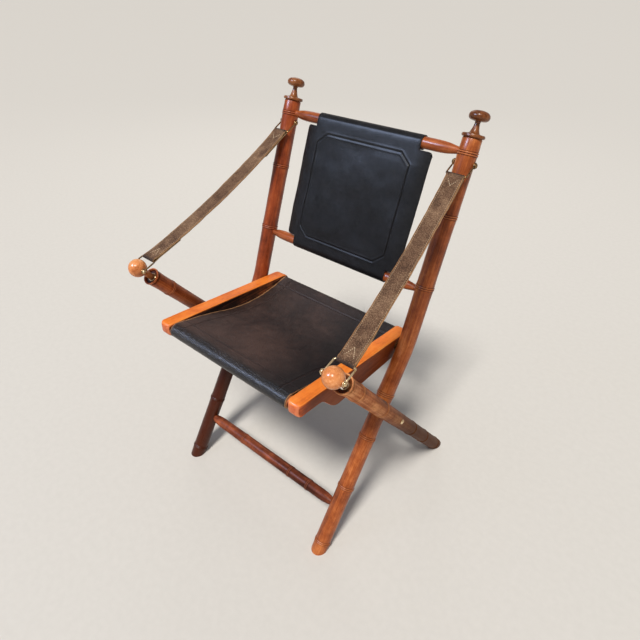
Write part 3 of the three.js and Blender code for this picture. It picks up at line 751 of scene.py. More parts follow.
def leg_profile():
    """The leg from its foot to its cup, whose points are given from the leg's radius and the rim."""
    points = [(0, -24), (LEG_RADIUS, -24)]
    points += joint(LEG_RADIUS, LEG_FOOT_RING, 0.6, SHORT_REACH)
    for along in LEG_JOINTS:
        points += joint(LEG_RADIUS, along, 0.6)
    points += [(LEG_RADIUS + rise, RIM + offset, *groove) for rise, offset, *groove in LEG_CUP]
    return points + [(0, CUP_FLOOR, 1)]


def ball_profile():
    """The neck and the ball, whose points are given from the ball's centre."""
    turns = np.linspace(math.asin(7.6 / BALL_RADIUS), math.pi, 22)
    round_part = [(BALL_RADIUS * math.sin(turn), -BALL_RADIUS * math.cos(turn)) for turn in turns]
    return [(radius, along + BALL, *groove) for radius, along, *groove in BALL_NECK + round_part]


leg = turned("arm_leg_right", leg_profile(), shift=5.0)
settled(leg, LEG_FOOT + Vector((LEG_X, 0, 0)), (LEG_TILT, 0, 0))
cut_at_floor(leg)
smoothed(leg)
ball = turned("arm_ball_right", ball_profile(), shift=6.0)
settled(ball, LEG_FOOT + Vector((LEG_X, 0, 0)), (LEG_TILT, 0, 0))
collar = turned("ball_collar_right", COLLAR, 32, closed=True)
settled(collar, on_leg(CUP_FLOOR) + Vector((LEG_X, 0, 0)), (LEG_TILT, 0, 0))
for piece, node, slot, finish in [
    (leg, "arm_leg", "leg_wood", leg_wood),
    (ball, "arm_ball", "leg_wood", ball_wood),
    (collar, "ball_collar", "pale_brass", pale_brass),
]:
    other = settled(copied(piece, f"{node}_left", 1.7), (-2 * LEG_X, 0, 0))
    fitted(piece, f"right_{node}", "arm_frame", slot, finish)
    fitted(other, f"left_{node}", "arm_frame", slot, left_leg_wood if node == "arm_leg" else finish)
print("leg, ball and collar faces:", [len(piece.data.polygons) for piece in (leg, ball, collar)])

# %% [markdown]
# The cross bars are turned too. The two bars of the back stay thick until well past the leather and
# then fall away to thin ends. The stretchers swell more slowly and carry three single rings.

# %% Cross bars
ALONG_X = (0, math.pi / 2, 0)


def bar(name, half, swell, rings=(), shift=0.0):
    """A bar along X. Swell lists the points of one end, and the other end is its mirror image."""
    end = [(0, half), *[(radius, along) for along, radius in swell]]
    middle = []
    for at in sorted(rings, reverse=True):
        middle += reversed(joint(swell[-1][1], at, 0.8, 6))
    points = end + middle + [(radius, -along) for radius, along in reversed(end)]
    return turned(name, points, shift=shift)


POST_BAR_HALF = 219
LEG_BAR_HALF = 260.4
TOP_BAR, BOTTOM_BAR = 915.8, 643.7
FRONT_STRETCHER, REAR_STRETCHER = 115.6, 130
SEAT_REST = 534.6
BACK_SWELL = [
    (POST_BAR_HALF, 6.2), (202, 6.3), (195, 7.4), (187, 8.9), (178, 10.2), (168, 10.9), (156, 11.2),
    (120, 11.2),
]
FRONT_SWELL = [(POST_BAR_HALF, 7), (202, 8.2), (197, 10.2), (190, 11.6), (182, 12.5), (172, 13), (139, 13)]
REAR_SWELL = [(LEG_BAR_HALF, 7), (244, 8.2), (239, 10.2), (232, 11.6), (224, 12.5), (214, 13), (139, 13)]
STRETCHER_RINGS = [-87, 73, 131.5]
bars = [
    ("top_back_bar", POST_BAR_HALF, BACK_SWELL, (), on_post(TOP_BAR)),
    ("bottom_back_bar", POST_BAR_HALF, BACK_SWELL, (), on_post(BOTTOM_BAR)),
    ("front_stretcher", POST_BAR_HALF, FRONT_SWELL, STRETCHER_RINGS, on_post(FRONT_STRETCHER)),
    ("rear_stretcher", LEG_BAR_HALF, REAR_SWELL, STRETCHER_RINGS, on_leg(REAR_STRETCHER)),
    ("seat_rest_bar", LEG_BAR_HALF, [(LEG_BAR_HALF, 9), (200, 9)], (), on_leg(SEAT_REST)),
]
for number, (node, half, swell, rings, centre) in enumerate(bars):
    piece = bar(f"{node}_turned", half, swell, rings, shift=7.0 + number)
    settled(piece, centre, ALONG_X)
    body = "back_frame" if half == POST_BAR_HALF else "arm_frame"
    slot, finish = ("post_wood", bar_wood) if "back_bar" in node else ("stretcher_wood", stretcher_wood)
    fitted(piece, node, body, slot, finish)
print("cross bars:", len(bars))

# %% [markdown]
# A seat rail is a board with a rounded nose, a deep belly and a round tail. Its side view has a straight
# top, arcs at both ends, and a curve that leads down from the nose to the belly.

# %% Side view of a seat rail
RAIL_INNER = 167.8
RAIL_THICKNESS = 31
NOSE_Y, TAIL_Y = -265.6, 112.6
SEAT_PIVOT = on_post(510.8)
PIVOT_Y = -20.18
NOSE_RISE, TAIL_RISE = 47.4, 17.2
NOSE_DEPTH, BELLY_DEPTH, TAIL_DEPTH = 31.5, 68, 46


def rail_top(y):
    """The height of a rail's straight top at this place."""
    share = (y - NOSE_Y) / (TAIL_Y - NOSE_Y)
    return SEAT_PIVOT.z + NOSE_RISE + (TAIL_RISE - NOSE_RISE) * share


def arc(y, z, radius, start, end, steps):
    """Points on a circle in the side view, between two angles in degrees."""
    turns = [math.radians(start + (end - start) * step / steps) for step in range(steps + 1)]
    return [(0, y + radius * math.cos(turn), z + radius * math.sin(turn)) for turn in turns]


def bezier(first, second, third, fourth, steps):
    """The points inside a curve that leaves the first of four places and arrives at the fourth."""
    points = []
    for step in range(1, steps):
        t = step / steps
        weights = ((1 - t) ** 3, 3 * t * (1 - t) ** 2, 3 * t * t * (1 - t), t ** 3)
        y, z = (sum(w * p[axis] for w, p in zip(weights, (first, second, third, fourth))) for axis in (0, 1))
        points.append((0, y, z))
    return points


def rail_outline():
    """The side view of a rail: along the top, round the nose, down to the belly and round the tail."""
    upper, lower, bend = 9, 12, 6.3
    nose_low = rail_top(NOSE_Y) - NOSE_DEPTH
    shoulder, belly = PIVOT_Y - 176.4, PIVOT_Y - 124.5
    belly_low = rail_top(belly) - BELLY_DEPTH
    tail_low = rail_top(TAIL_Y) - TAIL_DEPTH
    tail_radius = TAIL_DEPTH / 2
    start, end = (shoulder - bend, nose_low - bend / 2), (belly, belly_low)
    leaving, arriving = (shoulder + 2 * bend, nose_low - bend), (belly - 4 * bend, belly_low)
    points = [(0, y, rail_top(y)) for y in (NOSE_Y + 60, NOSE_Y + 16, NOSE_Y + 12)]
    points += arc(NOSE_Y + upper, rail_top(NOSE_Y + upper) - upper, upper, 90, 180, 8)
    points += arc(NOSE_Y + lower, nose_low + lower, lower, 180, 270, 8)
    points += [(0, y, nose_low) for y in (NOSE_Y + 16, NOSE_Y + 22)]
    points.append((0, *start))
    points += bezier(start, leaving, arriving, end, 12)
    points.append((0, *end))
    points += arc(TAIL_Y - tail_radius, tail_low + tail_radius, tail_radius, -90, 88, 16)
    return points


print("points round a rail:", len(rail_outline()))

# %% [markdown]
# The side view is drawn as a chain, filled, and pulled out to the board's thickness. A bevel rounds the
# edges, and the rounded faces are noted as ridges, which paints them pale as rubbed varnish with a
# painted highlight. The nose is drawn in a little, so that it is round from above too.

# %% Seat rails
def board(name, outline, thickness):
    """A board of this outline, which lies in the side view, and this thickness towards the right."""
    piece = chained(name, outline)
    bpy.ops.mesh.select_all(action="SELECT")
    bpy.ops.mesh.edge_face_add()
    bpy.ops.mesh.extrude_region_move(TRANSFORM_OT_translate={"value": (thickness * MM, 0, 0)})
    bpy.ops.object.mode_set(mode="OBJECT")
    tidied(piece)
    return piece


def soften_nose(piece):
    """Round the front end of a rail as seen from above."""
    reach, draw = 14, 0.42
    places = points_of(piece) / MM
    close = np.clip((NOSE_Y + reach - places[:, 1]) / reach, 0, 1)
    middle = RAIL_THICKNESS / 2
    places[:, 0] = (places[:, 0] - middle) * (1 - draw * close ** 2.4) + middle
    piece.data.vertices.foreach_set("co", (places * MM).ravel())
    piece.data.update()


def finish_rail(piece):
    """Orange top; painted shade on the sides and the bare inner face; edges rubbed, with a painted highlight.
    """
    for material in (rail_wood, shaded_inner_wood, shaded_side_wood, end_wood):
        piece.data.materials.append(material)
    normals = np.array([face.normal for face in piece.data.polygons])
    slants = normals[:, 0]
    # Rounded faces are painted pale: rubbed varnish with a painted highlight.
    rubbed = np.clip(1 - abs(abs(slants) - 0.6) / 0.4, 0, 1)
    note(piece, "groove", -rubbed, domain="FACE")
    # Faces that aren't top, nose or inner get the side wood, which is painted shade.
    kinds = np.where(slants < -0.97, 1, 2)
    kinds[normals[:, 1] < -0.6] = 3
    kinds[normals[:, 2] > 0.55] = 0
    piece.data.polygons.foreach_set("material_index", kinds.astype(np.int32))
    print("rail faces on top, inside, on the sides and at the nose:", np.bincount(kinds))


rail = board("seat_rail_right", rail_outline(), RAIL_THICKNESS)
applied(rail, "BEVEL", width=4 * MM, segments=5, limit_method="ANGLE", angle_limit=math.radians(50))
soften_nose(rail)
finish_rail(rail)
settled(rail, (RAIL_INNER, 0, 0))
note_grain(rail, fibre=1, shift=12.0)
smoothed(rail, 30)
rail_left = mirrored(rail, "seat_rail_left", 1.4)
smoothed(rail_left, 30)
fitted(rail, "right_seat_rail", "seat_frame", "rail_wood")
fitted(rail_left, "left_seat_rail", "seat_frame", "rail_wood")
print("rail faces:", len(rail.data.polygons))

# %% [markdown]
# Seat and back are hides sewn round two bars each. A hide is a grid of points: its rows follow a
# path in the side view, round each bar and across between them, and its columns run from edge to edge.

# %% Paths round two bars
def run_lengths(path):
    """The distance from the start of a path to each of its points."""
    return np.concatenate([[0], np.cumsum(np.hypot(*np.diff(path, axis=0).T))])


def resampled(points, step):
    """The same path in points that lie step apart."""
    path = np.array(points, float)
    runs = run_lengths(path)
    marks = np.linspace(0, runs[-1], max(2, round(runs[-1] / step) + 1))
    return np.column_stack([np.interp(marks, runs, path[:, axis]) for axis in (0, 1)])


def softened(path, passes):
    """Round off the corners of a path, with its ends kept."""
    for _ in range(passes):
        inner = (path[:-2] + 2 * path[1:-1] + path[2:]) / 4
        path = np.vstack([path[:1], inner, path[-1:]])
    return path


def round_bar(centre, radius, start, end, steps=18):
    """The stretch of a path that goes round a bar, between two angles in degrees."""
    turns = np.radians(np.linspace(start, end, steps))
    return [(centre[0] + radius * math.cos(turn), centre[1] + radius * math.sin(turn)) for turn in turns]


# %% [markdown]
# The grid is made flat first, so that each point can note its place on the flat cut. Then it is moved
# to its place in the chair. A hide that isn't a plain rectangle loses the faces outside its outline.

# %% Hides as grids
def sheet_mesh(name, columns, path, place, keep=None):
    """A grid whose points go where place puts them: from across and a path point to X, Y, Z in mm."""
    runs = run_lengths(path)
    across = np.array(columns)
    size = np.array([len(columns) - 1, len(path) - 1])
    bpy.ops.object.select_all(action="DESELECT")
    bpy.ops.mesh.primitive_grid_add(x_subdivisions=int(size[0]), y_subdivisions=int(size[1]), size=2)
    piece = bpy.context.object
    piece.name = name
    cells = np.round((points_of(piece)[:, :2] + 1) / 2 * size).astype(int)
    flats = np.column_stack([across[cells[:, 0]], runs[cells[:, 1]], np.zeros(len(cells))])
    if keep:
        bpy.ops.object.mode_set(mode="EDIT")
        bpy.ops.mesh.select_all(action="DESELECT")
        bpy.ops.object.mode_set(mode="OBJECT")
        for face in piece.data.polygons:
            middle = flats[list(face.vertices)].mean(axis=0)
            face.select = not keep(middle[0], middle[1])
    places = [place(columns[column], path[row], runs[row]) for column, row in cells]
    piece.data.vertices.foreach_set("co", (np.array(places) * MM).ravel())
    note(piece, "hide", flats * MM, "FLOAT_VECTOR")
    if keep:
        bpy.ops.object.mode_set(mode="EDIT")
        bpy.ops.mesh.delete(type="FACE")
        bpy.ops.object.mode_set(mode="OBJECT")
    return piece


def flats_of(piece):
    """The place of each point on the flat cut, in millimetres."""
    flats = np.empty(len(piece.data.vertices) * 3, np.float32)
    piece.data.attributes["hide"].data.foreach_get("vector", flats)
    return flats.reshape(-1, 3)[:, :2] / MM


def thickened(piece, thickness, hide, rim, edge=0.6):
    """Give a shaped sheet its thickness, evenly to both sides, and its cut edges their own finish."""
    piece.data.materials.append(hide)
    piece.data.materials.append(rim)
    only(piece)
    bpy.ops.object.mode_set(mode="EDIT")
    bpy.ops.mesh.select_all(action="SELECT")
    bpy.ops.mesh.delete_loose()
    bpy.ops.object.mode_set(mode="OBJECT")
    applied(piece, "SOLIDIFY", thickness=thickness * MM, offset=0, material_offset_rim=1)
    settings = {"limit_method": "ANGLE", "angle_limit": math.radians(60)}
    applied(piece, "BEVEL", width=edge * MM, segments=2, material=-1, **settings)
    tidied(piece, doubles=False)
    smoothed(piece, 50)


# %% [markdown]
# The seat is one hide, rolled forwards over the front bar and backwards over the rear bar, and sewn to
# itself below. It sags most a little behind its middle. Its path has both rolls and both sewn hems.

# %% Path of the seat leather
SEAT_HALF = 164.8
SEAT_THICKNESS = 3.0
FRONT_BAR = (-249.8, 465.8)
REAR_BAR = (90.6, 434.5)
SEAT_SAG = 27
LOW_SHARE = 0.62
SEAT_LINE = SEAT_HALF - 27
SEAT_ROLL = 12.3
HEM_GAP = 0.3


def seat_path():
    """The points of the path in the side view, from the front hem to the rear hem."""
    radius = SEAT_ROLL + SEAT_THICKNESS / 2
    front_top = (FRONT_BAR[0], FRONT_BAR[1] + radius)
    rear_top = (REAR_BAR[0], REAR_BAR[1] + radius)
    power = math.log(0.5) / math.log(LOW_SHARE)
    middle = []
    for step in range(1, 60):
        share = step / 60
        sag = SEAT_SAG * math.sin(math.pi * share ** power)
        middle.append((
            front_top[0] + (rear_top[0] - front_top[0]) * share,
            front_top[1] + (rear_top[1] - front_top[1]) * share - sag,
        ))
    gap = SEAT_THICKNESS + HEM_GAP
    front_tail = [(y, z - gap) for y, z in middle[8:2:-1]]
    rear_tail = [(y, z - gap) for y, z in middle[-4:-10:-1]]
    path = front_tail + round_bar(FRONT_BAR, radius, -55, -262) + middle[1:-2]
    path += round_bar(REAR_BAR, radius, 100, -125) + rear_tail
    return softened(resampled(path, 2.2), 4)


seat_points = seat_path()
seat_runs = run_lengths(seat_points)
front_crest = int(np.argmax(seat_points[: len(seat_points) // 3, 1]))
rear_crest = len(seat_points) // 2 + int(np.argmax(seat_points[len(seat_points) // 2 :, 1]))
FRONT_SEAM = seat_runs[front_crest] + 27
REAR_SEAM = seat_runs[rear_crest] - 26
print("seat path, in millimetres:", round(seat_runs[-1]), "in", len(seat_points), "points")

# %% [markdown]
# A tooled line runs along each side of the seat, and the seams of the two rolls show as lines too, so
# the lines cross near the corners. A low ridge lies beside each line, where the leather is pushed up.
# Slow waves make the hide look sat on. Its left edge and its ends are frayed.

# %% Seat leather
LINE_WIDTH, LINE_DEPTH = 1.5, 1.2
RIDGE_PLACE, RIDGE_WIDTH, RIDGE_HEIGHT = 4, 1.6, 0.5


def bump(distance, width, height):
    """A smooth bump of this height where distance is 0, or a groove where the height is below 0."""
    return height * math.exp(-((distance / width) ** 2))


def seat_columns():
    """Where the grid's columns are across the seat, closer together beside the two lines."""
    coarse = np.linspace(-SEAT_HALF, SEAT_HALF, 62)
    fine = [side * (SEAT_LINE + offset) for side in (-1, 1) for offset in np.arange(-6, 6.1, 1)]
    return sorted(set(np.round(np.concatenate([coarse, fine]), 2)))


def seam_distance(across, run):
    """How far a place on top of the seat is from the nearest tooled line or seam."""
    if not seat_runs[front_crest] - 8 < run < seat_runs[rear_crest] + 4:
        return 100
    return min(abs(abs(across) - SEAT_LINE), abs(run - FRONT_SEAM), abs(run - REAR_SEAM))


def seat_groove(across, run):
    """How deep the tooled lines and seams are at a place of the seat, 0 to 1."""
    return bump(seam_distance(across, run), LINE_WIDTH, 1)


def seat_place(across, point, run):
    """Where a point of the grid lies in the chair."""
    y, z = point
    lift = 0
    if seat_runs[front_crest] < run < seat_runs[rear_crest]:
        share = (run - seat_runs[front_crest]) / (seat_runs[rear_crest] - seat_runs[front_crest])
        belly = math.sin(math.pi * share)
        lift += noise.noise(Vector((across / 95, y / 120, 1.7))) * 2.6 * belly
        lift += noise.noise(Vector((across / 38, y / 52, 4.1))) * 0.9 * belly
        lift += 1.4 * belly * (abs(across) / SEAT_HALF) ** 6
        lift -= seat_groove(across, run) * LINE_DEPTH
        lift += bump(seam_distance(across, run) - RIDGE_PLACE, RIDGE_WIDTH, RIDGE_HEIGHT)
        lift += 0.9 * (1 / (1 + math.exp((run - FRONT_SEAM) / 1.2)))
    else:
        lift = noise.noise(Vector((across / 14, run / 22, 7.7))) * 0.35
    wave = noise.noise(Vector((run / 26, across / 300, 2.2))) * 0.8 * (abs(across) / SEAT_HALF) ** 8
    return (across + wave, y, z + lift)


def seat_polish(across, run):
    """1 on the front roll, fading over the hem behind it, and -1 at the frayed ends and left edge."""
    roll = 1 / (1 + math.exp((run - seat_runs[front_crest] - 6) / 3))
    fray = max(0, 1 - (SEAT_HALF - abs(across)) / (3.2 + 3 * roll))
    if across > 0 and roll < 0.6:
        fray = 0
    return -fray if fray > 0.2 else roll


def seat_painted_light(across, run):
    """A painted sheen lightens the colour in front of the middle, and a painted shade darkens it beside the
    right rail.
    """
    share = (run - seat_runs[front_crest]) / (seat_runs[rear_crest] - seat_runs[front_crest])
    return bump(share - 0.22, 0.25, 0.22) - 0.5 * max(0, across / SEAT_HALF) ** 2


seat = sheet_mesh("seat_hide_sling", seat_columns(), seat_points, seat_place)
note(seat, "groove", [seat_groove(across, run) for across, run in flats_of(seat)])
note(seat, "polish", [seat_polish(across, run) for across, run in flats_of(seat)])
note(seat, "faded", [seat_painted_light(across, run) for across, run in flats_of(seat)])
thickened(seat, SEAT_THICKNESS, seat_hide, raw_edge)
fitted(seat, "seat_leather", "seat_frame", "seat_hide")

# %% [markdown]
# The back is a stiffer hide. It is narrower where it wraps its two bars, so the wide panel has
# shoulders beside them. Its path is given by distance in front of the bars and place along the post.

# %% Path of the back leather
BACK_HALF = 154.6
TAB_HALF = 127.8
BACK_THICKNESS = 2.6
BACK_LOW, BACK_HIGH = 658.4, 901
BACK_RADIUS = 11.5 + BACK_THICKNESS / 2
FRONT_NORMAL = Vector((0, -math.cos(POST_HIGH_TILT), math.sin(POST_HIGH_TILT)))


def back_path():
    """The points of the path, from the hem at the top bar to the hem at the bottom bar."""
    gap = BACK_THICKNESS + HEM_GAP
    top_tail = [(BACK_RADIUS - gap, TOP_BAR - reach) for reach in (46, 38, 30)]
    bottom_tail = [(BACK_RADIUS - gap, BOTTOM_BAR + reach) for reach in (30, 38, 46)]
    front = [(BACK_RADIUS, along) for along in np.linspace(TOP_BAR - 4, BOTTOM_BAR + 4, 60)]
    path = top_tail + round_bar((0, TOP_BAR), BACK_RADIUS, -55 + 360, 5, 30)[:-1] + front
    path += round_bar((0, BOTTOM_BAR), BACK_RADIUS, -5, -305, 30) + bottom_tail
    return softened(resampled(path, 1.9), 3)


back_points = back_path()
back_runs = run_lengths(back_points)
back_front = back_points[:, 0] > BACK_RADIUS - 1
print("back path, in millimetres:", round(back_runs[-1]), "in", len(back_points), "points")

# %% [markdown]
# A tooled border with cut corners frames the middle of the back. The free edges curl backwards a little,
# and the corners of the panel are rounded. Hands have rubbed the top and the edges black.

# %% Back leather
BORDER_X, BORDER_LOW, BORDER_HIGH = 117, 665.5, 889
CUT_X, CUT_UP = 24, 20
CORNER_RADIUS = 8
CURL_FROM, CURL = 118, 9
WAVE_FADE = 30
RUBBED_FROM = 128


def border_distance(across, along):
    """Distance from the tooled border, which is a rectangle with cut corners."""
    middle, half = (BORDER_LOW + BORDER_HIGH) / 2, (BORDER_HIGH - BORDER_LOW) / 2
    aside, above = abs(across) - BORDER_X, abs(along - middle) - half
    slant = aside * CUT_UP + above * CUT_X + CUT_X * CUT_UP
    return abs(max(aside, above, slant / math.hypot(CUT_X, CUT_UP)))


def back_columns():
    """Where the grid's columns are across the back, closer together beside the border."""
    coarse = np.linspace(-TAB_HALF, TAB_HALF, 58)
    outer = [TAB_HALF + (BACK_HALF - TAB_HALF) * share for share in (0.18, 0.36, 0.54, 0.72, 0.86, 0.95, 1)]
    fine = [BORDER_X + offset for offset in np.arange(-3, 3.1, 1)]
    slanted = list(np.arange(BORDER_X - CUT_X, BORDER_X - 3, 1.6))
    sided = [side * value for side in (-1, 1) for value in outer + fine + slanted]
    return sorted(set(np.round(np.concatenate([coarse, sided]), 2)))


def keep_back(across, run):
    """Whether the hide has leather here: it is only as wide as its tabs where it wraps the bars."""
    row = int(np.clip(np.searchsorted(back_runs, run) - 1, 0, len(back_points) - 2))
    along = (back_points[row][1] + back_points[row + 1][1]) / 2
    wide = back_front[row] and BACK_LOW < along < BACK_HIGH
    return abs(across) < TAB_HALF or wide


def back_place(across, point, run):
    """Where a point of the grid lies in the chair."""
    depth, along = point
    reach = max(0, abs(across) - CURL_FROM) / (BACK_HALF - CURL_FROM)
    if depth > BACK_RADIUS - 1:
        distance = border_distance(across, along)
        depth += bump(distance, 1.4, -1.1) + bump(distance - 3.4, 1.8, 0.5)
        shown = min(1, max(0, (along - BACK_LOW) / WAVE_FADE), max(0, (BACK_HIGH - along) / WAVE_FADE))
        depth += noise.noise(Vector((across / 70, along / 80, 3.3))) * 2.4 * shown
        depth += noise.noise(Vector((across / 30, along / 34, 8.3))) * 0.8 * shown
        depth -= CURL * reach ** 2
        if abs(across) > BACK_HALF - CORNER_RADIUS:
            spare = abs(across) - (BACK_HALF - CORNER_RADIUS)
            end = BACK_HIGH if along > (BACK_LOW + BACK_HIGH) / 2 else BACK_LOW
            room = CORNER_RADIUS - math.sqrt(max(0, CORNER_RADIUS ** 2 - spare ** 2))
            limit = abs(end - along)
            if limit < room:
                along += math.copysign(room - limit, (BACK_LOW + BACK_HIGH) / 2 - end)
    base = on_post(POST_BEND) + HIGH_LINE * (along - POST_BEND)
    return Vector((across, 0, 0)) + base + FRONT_NORMAL * depth


def back_marks(across, run):
    """How deep the border is at a place of the back, and how rubbed and black the hide is there."""
    row = int(np.argmin(abs(back_runs - run)))
    if not back_front[row]:
        return 0, 0
    along = back_points[row][1]
    rubbed = 0.5 * max(0, abs(across) - RUBBED_FROM) / (BACK_HALF - RUBBED_FROM)
    rubbed += 0.25 + 0.6 * min(1, max(0, (along - BACK_LOW) / (BACK_HIGH - BACK_LOW)))
    return bump(border_distance(across, along), 1.2, 1), min(1, rubbed)


back = sheet_mesh("back_hide_panel", back_columns(), back_points, back_place, keep_back)
marks = np.array([back_marks(across, run) for across, run in flats_of(back)])
note(back, "groove", marks[:, 0])
note(back, "polish", marks[:, 1])
thickened(back, BACK_THICKNESS, back_hide, dark_edge)
fitted(back, "back_leather", "back_frame", "back_hide")

# %% [markdown]
# A bail is one length of wire. Each end is curled into an eye round the pin, and the wire runs out,
# across and back. It is drawn as a chain of points, turned into a curve, given the wire's thickness
# and turned back into a mesh, which is the quickest way to a round wire with even bends.

# %% Wire bails
WIRE_RADIUS = 1.6
POST_EYE = 20.4
ARM_EYE = 21.5
EYE_REACH = 4.5
BAIL_REACH = 32
CORNER = 4.0
POST_PIN = on_post(896.2)
ARM_PIN = on_leg(BALL)
STRAP_LINE = (ARM_PIN - POST_PIN).normalized()
ARM_BAIL_LINE = Matrix.Rotation(math.radians(-8), 3, "X") @ -STRAP_LINE


def half_bail(eye_at):
    """The right half of a bail that points along Y, from its eye to its cross piece."""
    eye = []
    for turn in np.radians(np.linspace(48, 352, 17)):
        eye.append((eye_at, EYE_REACH * math.cos(turn), EYE_REACH * math.sin(turn)))
    leg_part = [(eye_at, reach, 0) for reach in (6.5, 12, 20, BAIL_REACH - CORNER)]
    corner = []
    for turn in np.radians(np.linspace(15, 90, 6)):
        corner.append((
            eye_at - CORNER + CORNER * math.cos(turn),
            BAIL_REACH - CORNER + CORNER * math.sin(turn),
            0,
        ))
    return eye + leg_part + corner


def wire(name, points, radius):
    """A round wire of this radius along the points."""
    piece = chained(name, points)
    bpy.ops.object.mode_set(mode="OBJECT")
    only(piece)
    bpy.ops.object.convert(target="CURVE")
    piece.data.bevel_depth = radius * MM
    piece.data.bevel_resolution = 4
    piece.data.use_fill_caps = True
    bpy.ops.object.convert(target="MESH")
    tidied(piece)
    note_grain(piece)
    smoothed(piece)
    return piece


def bail(name, pin, line, x, eye_at):
    """A whole bail on its pin, pointing along a line in the side view."""
    right = half_bail(eye_at)
    left = [(-across, reach, lift) for across, reach, lift in reversed(right)]
    piece = wire(name, right + left, WIRE_RADIUS)
    turn = math.atan2(line.z, line.y)
    return settled(piece, pin + Vector((x, 0, 0)), (turn, 0, 0))


for word, sign in (("right", 1), ("left", -1)):
    upper = bail(f"post_bail_{word}", POST_PIN, STRAP_LINE, sign * POST_X, POST_EYE)
    fitted(upper, f"{word}_post_bail", f"{word}_post_bail", "pale_brass", dark_brass)
    lower = bail(f"arm_bail_{word}", ARM_PIN, ARM_BAIL_LINE, sign * LEG_X, ARM_EYE)
    finish = pale_brass if word == "right" else dark_brass
    fitted(lower, f"{word}_arm_bail", f"{word}_arm_bail", "pale_brass", finish)
print("bail faces:", len(upper.data.polygons), "and", len(lower.data.polygons))

# %% [markdown]
# The strap pins, the pivot bolts and the spacers are small turnings laid along X. A pin has a domed
# head at both ends. The pivot bolt shows only its bright head on the outside of the leg.

# %% Pins, bolts and spacers
PIVOT = Vector((0, PIVOT_Y, 311.97))


def domed(radius, height, start):
    """Points of a domed head, from its rim to its crown."""
    turns = np.linspace(0, math.pi / 2, 7)
    return [(radius * math.cos(turn), start + height * math.sin(turn)) for turn in turns]


def pin_profile(eye_at):
    """A strap pin, whose heads lie just outside the eyes of its bail."""
    head = eye_at + WIRE_RADIUS + 0.3
    end = [(2.6, head), (4.2, head, 0.6), *domed(4.6, 2.6, head + 0.3)]
    return [(radius, -along, *groove) for radius, along, *groove in reversed(end)] + end


def bolt_profile():
    """A pivot bolt, from the middle of the post to its head outside the leg."""
    start, face = POST_X + 0.3, LEG_X + LEG_RADIUS + 0.3
    return [(0, start), (3.2, start), (3.2, face), (5.0, face, 0.8), *domed(5.4, 2.8, face + 0.4)]


def at_both_sides(node, profile, centre, x, body, finish, closed=False):
    """One turning for the right side and its mirror image for the left."""
    piece = turned(f"{node}_right", profile, 28, closed=closed)
    settled(piece, centre + Vector((x, 0, 0)), ALONG_X)
    other = mirrored(piece, f"{node}_left")
    fitted(piece, f"right_{node}", body, "pale_brass", finish)
    fitted(other, f"left_{node}", body, "pale_brass", finish)
    print(node, "faces:", len(piece.data.polygons))


SPACER = [(3.5, 237.9), (10.4, 237.9), (11, 238.5), (11, 243.1), (10.4, 243.7), (3.5, 243.7)]
at_both_sides("post_pin", pin_profile(POST_EYE), POST_PIN, POST_X, "back_frame", dark_brass)
at_both_sides("arm_pin", pin_profile(ARM_EYE), ARM_PIN, LEG_X, "arm_frame", pale_brass)
at_both_sides("pivot_bolt", bolt_profile(), PIVOT, 0, "back_frame", pale_brass)
at_both_sides("pivot_spacer", SPACER, PIVOT, 0, "back_frame", dark_brass, closed=True)

# %% [markdown]
# An arm strap is a long leather strip, folded round a bail at each end and sewn to itself. Its path
# starts at the end of the upper tail, goes round the upper bail, down to the lower bail, round it and
# back. The strap hangs a little slack.

# %% Arm straps
STRAP_HALF = 17.4
STRAP_THICKNESS = 2.6
STRAP_SAG = 12
TAIL = 74
LOOP = WIRE_RADIUS + 0.3 + STRAP_THICKNESS / 2
LAYER = STRAP_THICKNESS / 2 + 0.1
STRAP_START = POST_PIN + STRAP_LINE * BAIL_REACH + Vector((POST_X, 0, 0))
STRAP_END = ARM_PIN + ARM_BAIL_LINE * BAIL_REACH + Vector((LEG_X, 0, 0))
STRAP_RUN = STRAP_END - STRAP_START
STRAP_LENGTH = STRAP_RUN.length
STRAP_AXIS = STRAP_RUN.normalized()
STRAP_NORMAL = -Vector((1, 0, 0)).cross(STRAP_AXIS).normalized()
if STRAP_NORMAL.z < 0:
    STRAP_NORMAL = -STRAP_NORMAL


def strap_path():
    """Points of (along from the upper bail, lift), from the upper tail to the lower tail."""
    fold = [(TAIL, -LAYER), (TAIL - 10, -LAYER), (30, -LAYER), (16, -LAYER - 0.1), (8, -LAYER - 0.8)]
    fold += round_bar((0, 0), LOOP, 270, 90, 12)
    fold += [(8, LAYER + 0.8), (16, LAYER + 0.1), (30, LAYER)]
    other = [(STRAP_LENGTH - along, lift) for along, lift in reversed(fold)]
    middle = [(along, LAYER) for along in np.linspace(40, STRAP_LENGTH - 40, 40)]
    return softened(resampled(fold + middle + other, 2.4), 2)


def slack(along):
    """How far the strap hangs below the straight line at this place."""
    share = min(1, max(0, along / STRAP_LENGTH))
    return -STRAP_SAG * 4 * share * (1 - share)


def strap_point(across, along, lift):
    """A place on the right strap, which hangs slack and is a little twisted and uneven."""
    share = min(1, max(0, along / STRAP_LENGTH))
    bulge = noise.noise(Vector((along / 60, across / 30, 5.5))) * 1.0 * math.sin(math.pi * share)
    twist = across * 0.05 * math.sin(math.pi * share)
    offset = STRAP_NORMAL * (lift + slack(along) + bulge + twist)
    return STRAP_START + STRAP_AXIS * along + Vector((across, 0, 0)) + offset


def strap_place(across, point, run):
    """Where a point of the grid lies in the chair. The strap's edges are thinner and a little wavy."""
    along, lift = point
    edge = (abs(across) / STRAP_HALF) ** 10
    wave = noise.noise(Vector((run / 18, 9.1, 0.3 if across > 0 else 6.3))) * 0.7 * edge
    return strap_point(across + wave, along, lift - 0.25 * edge)


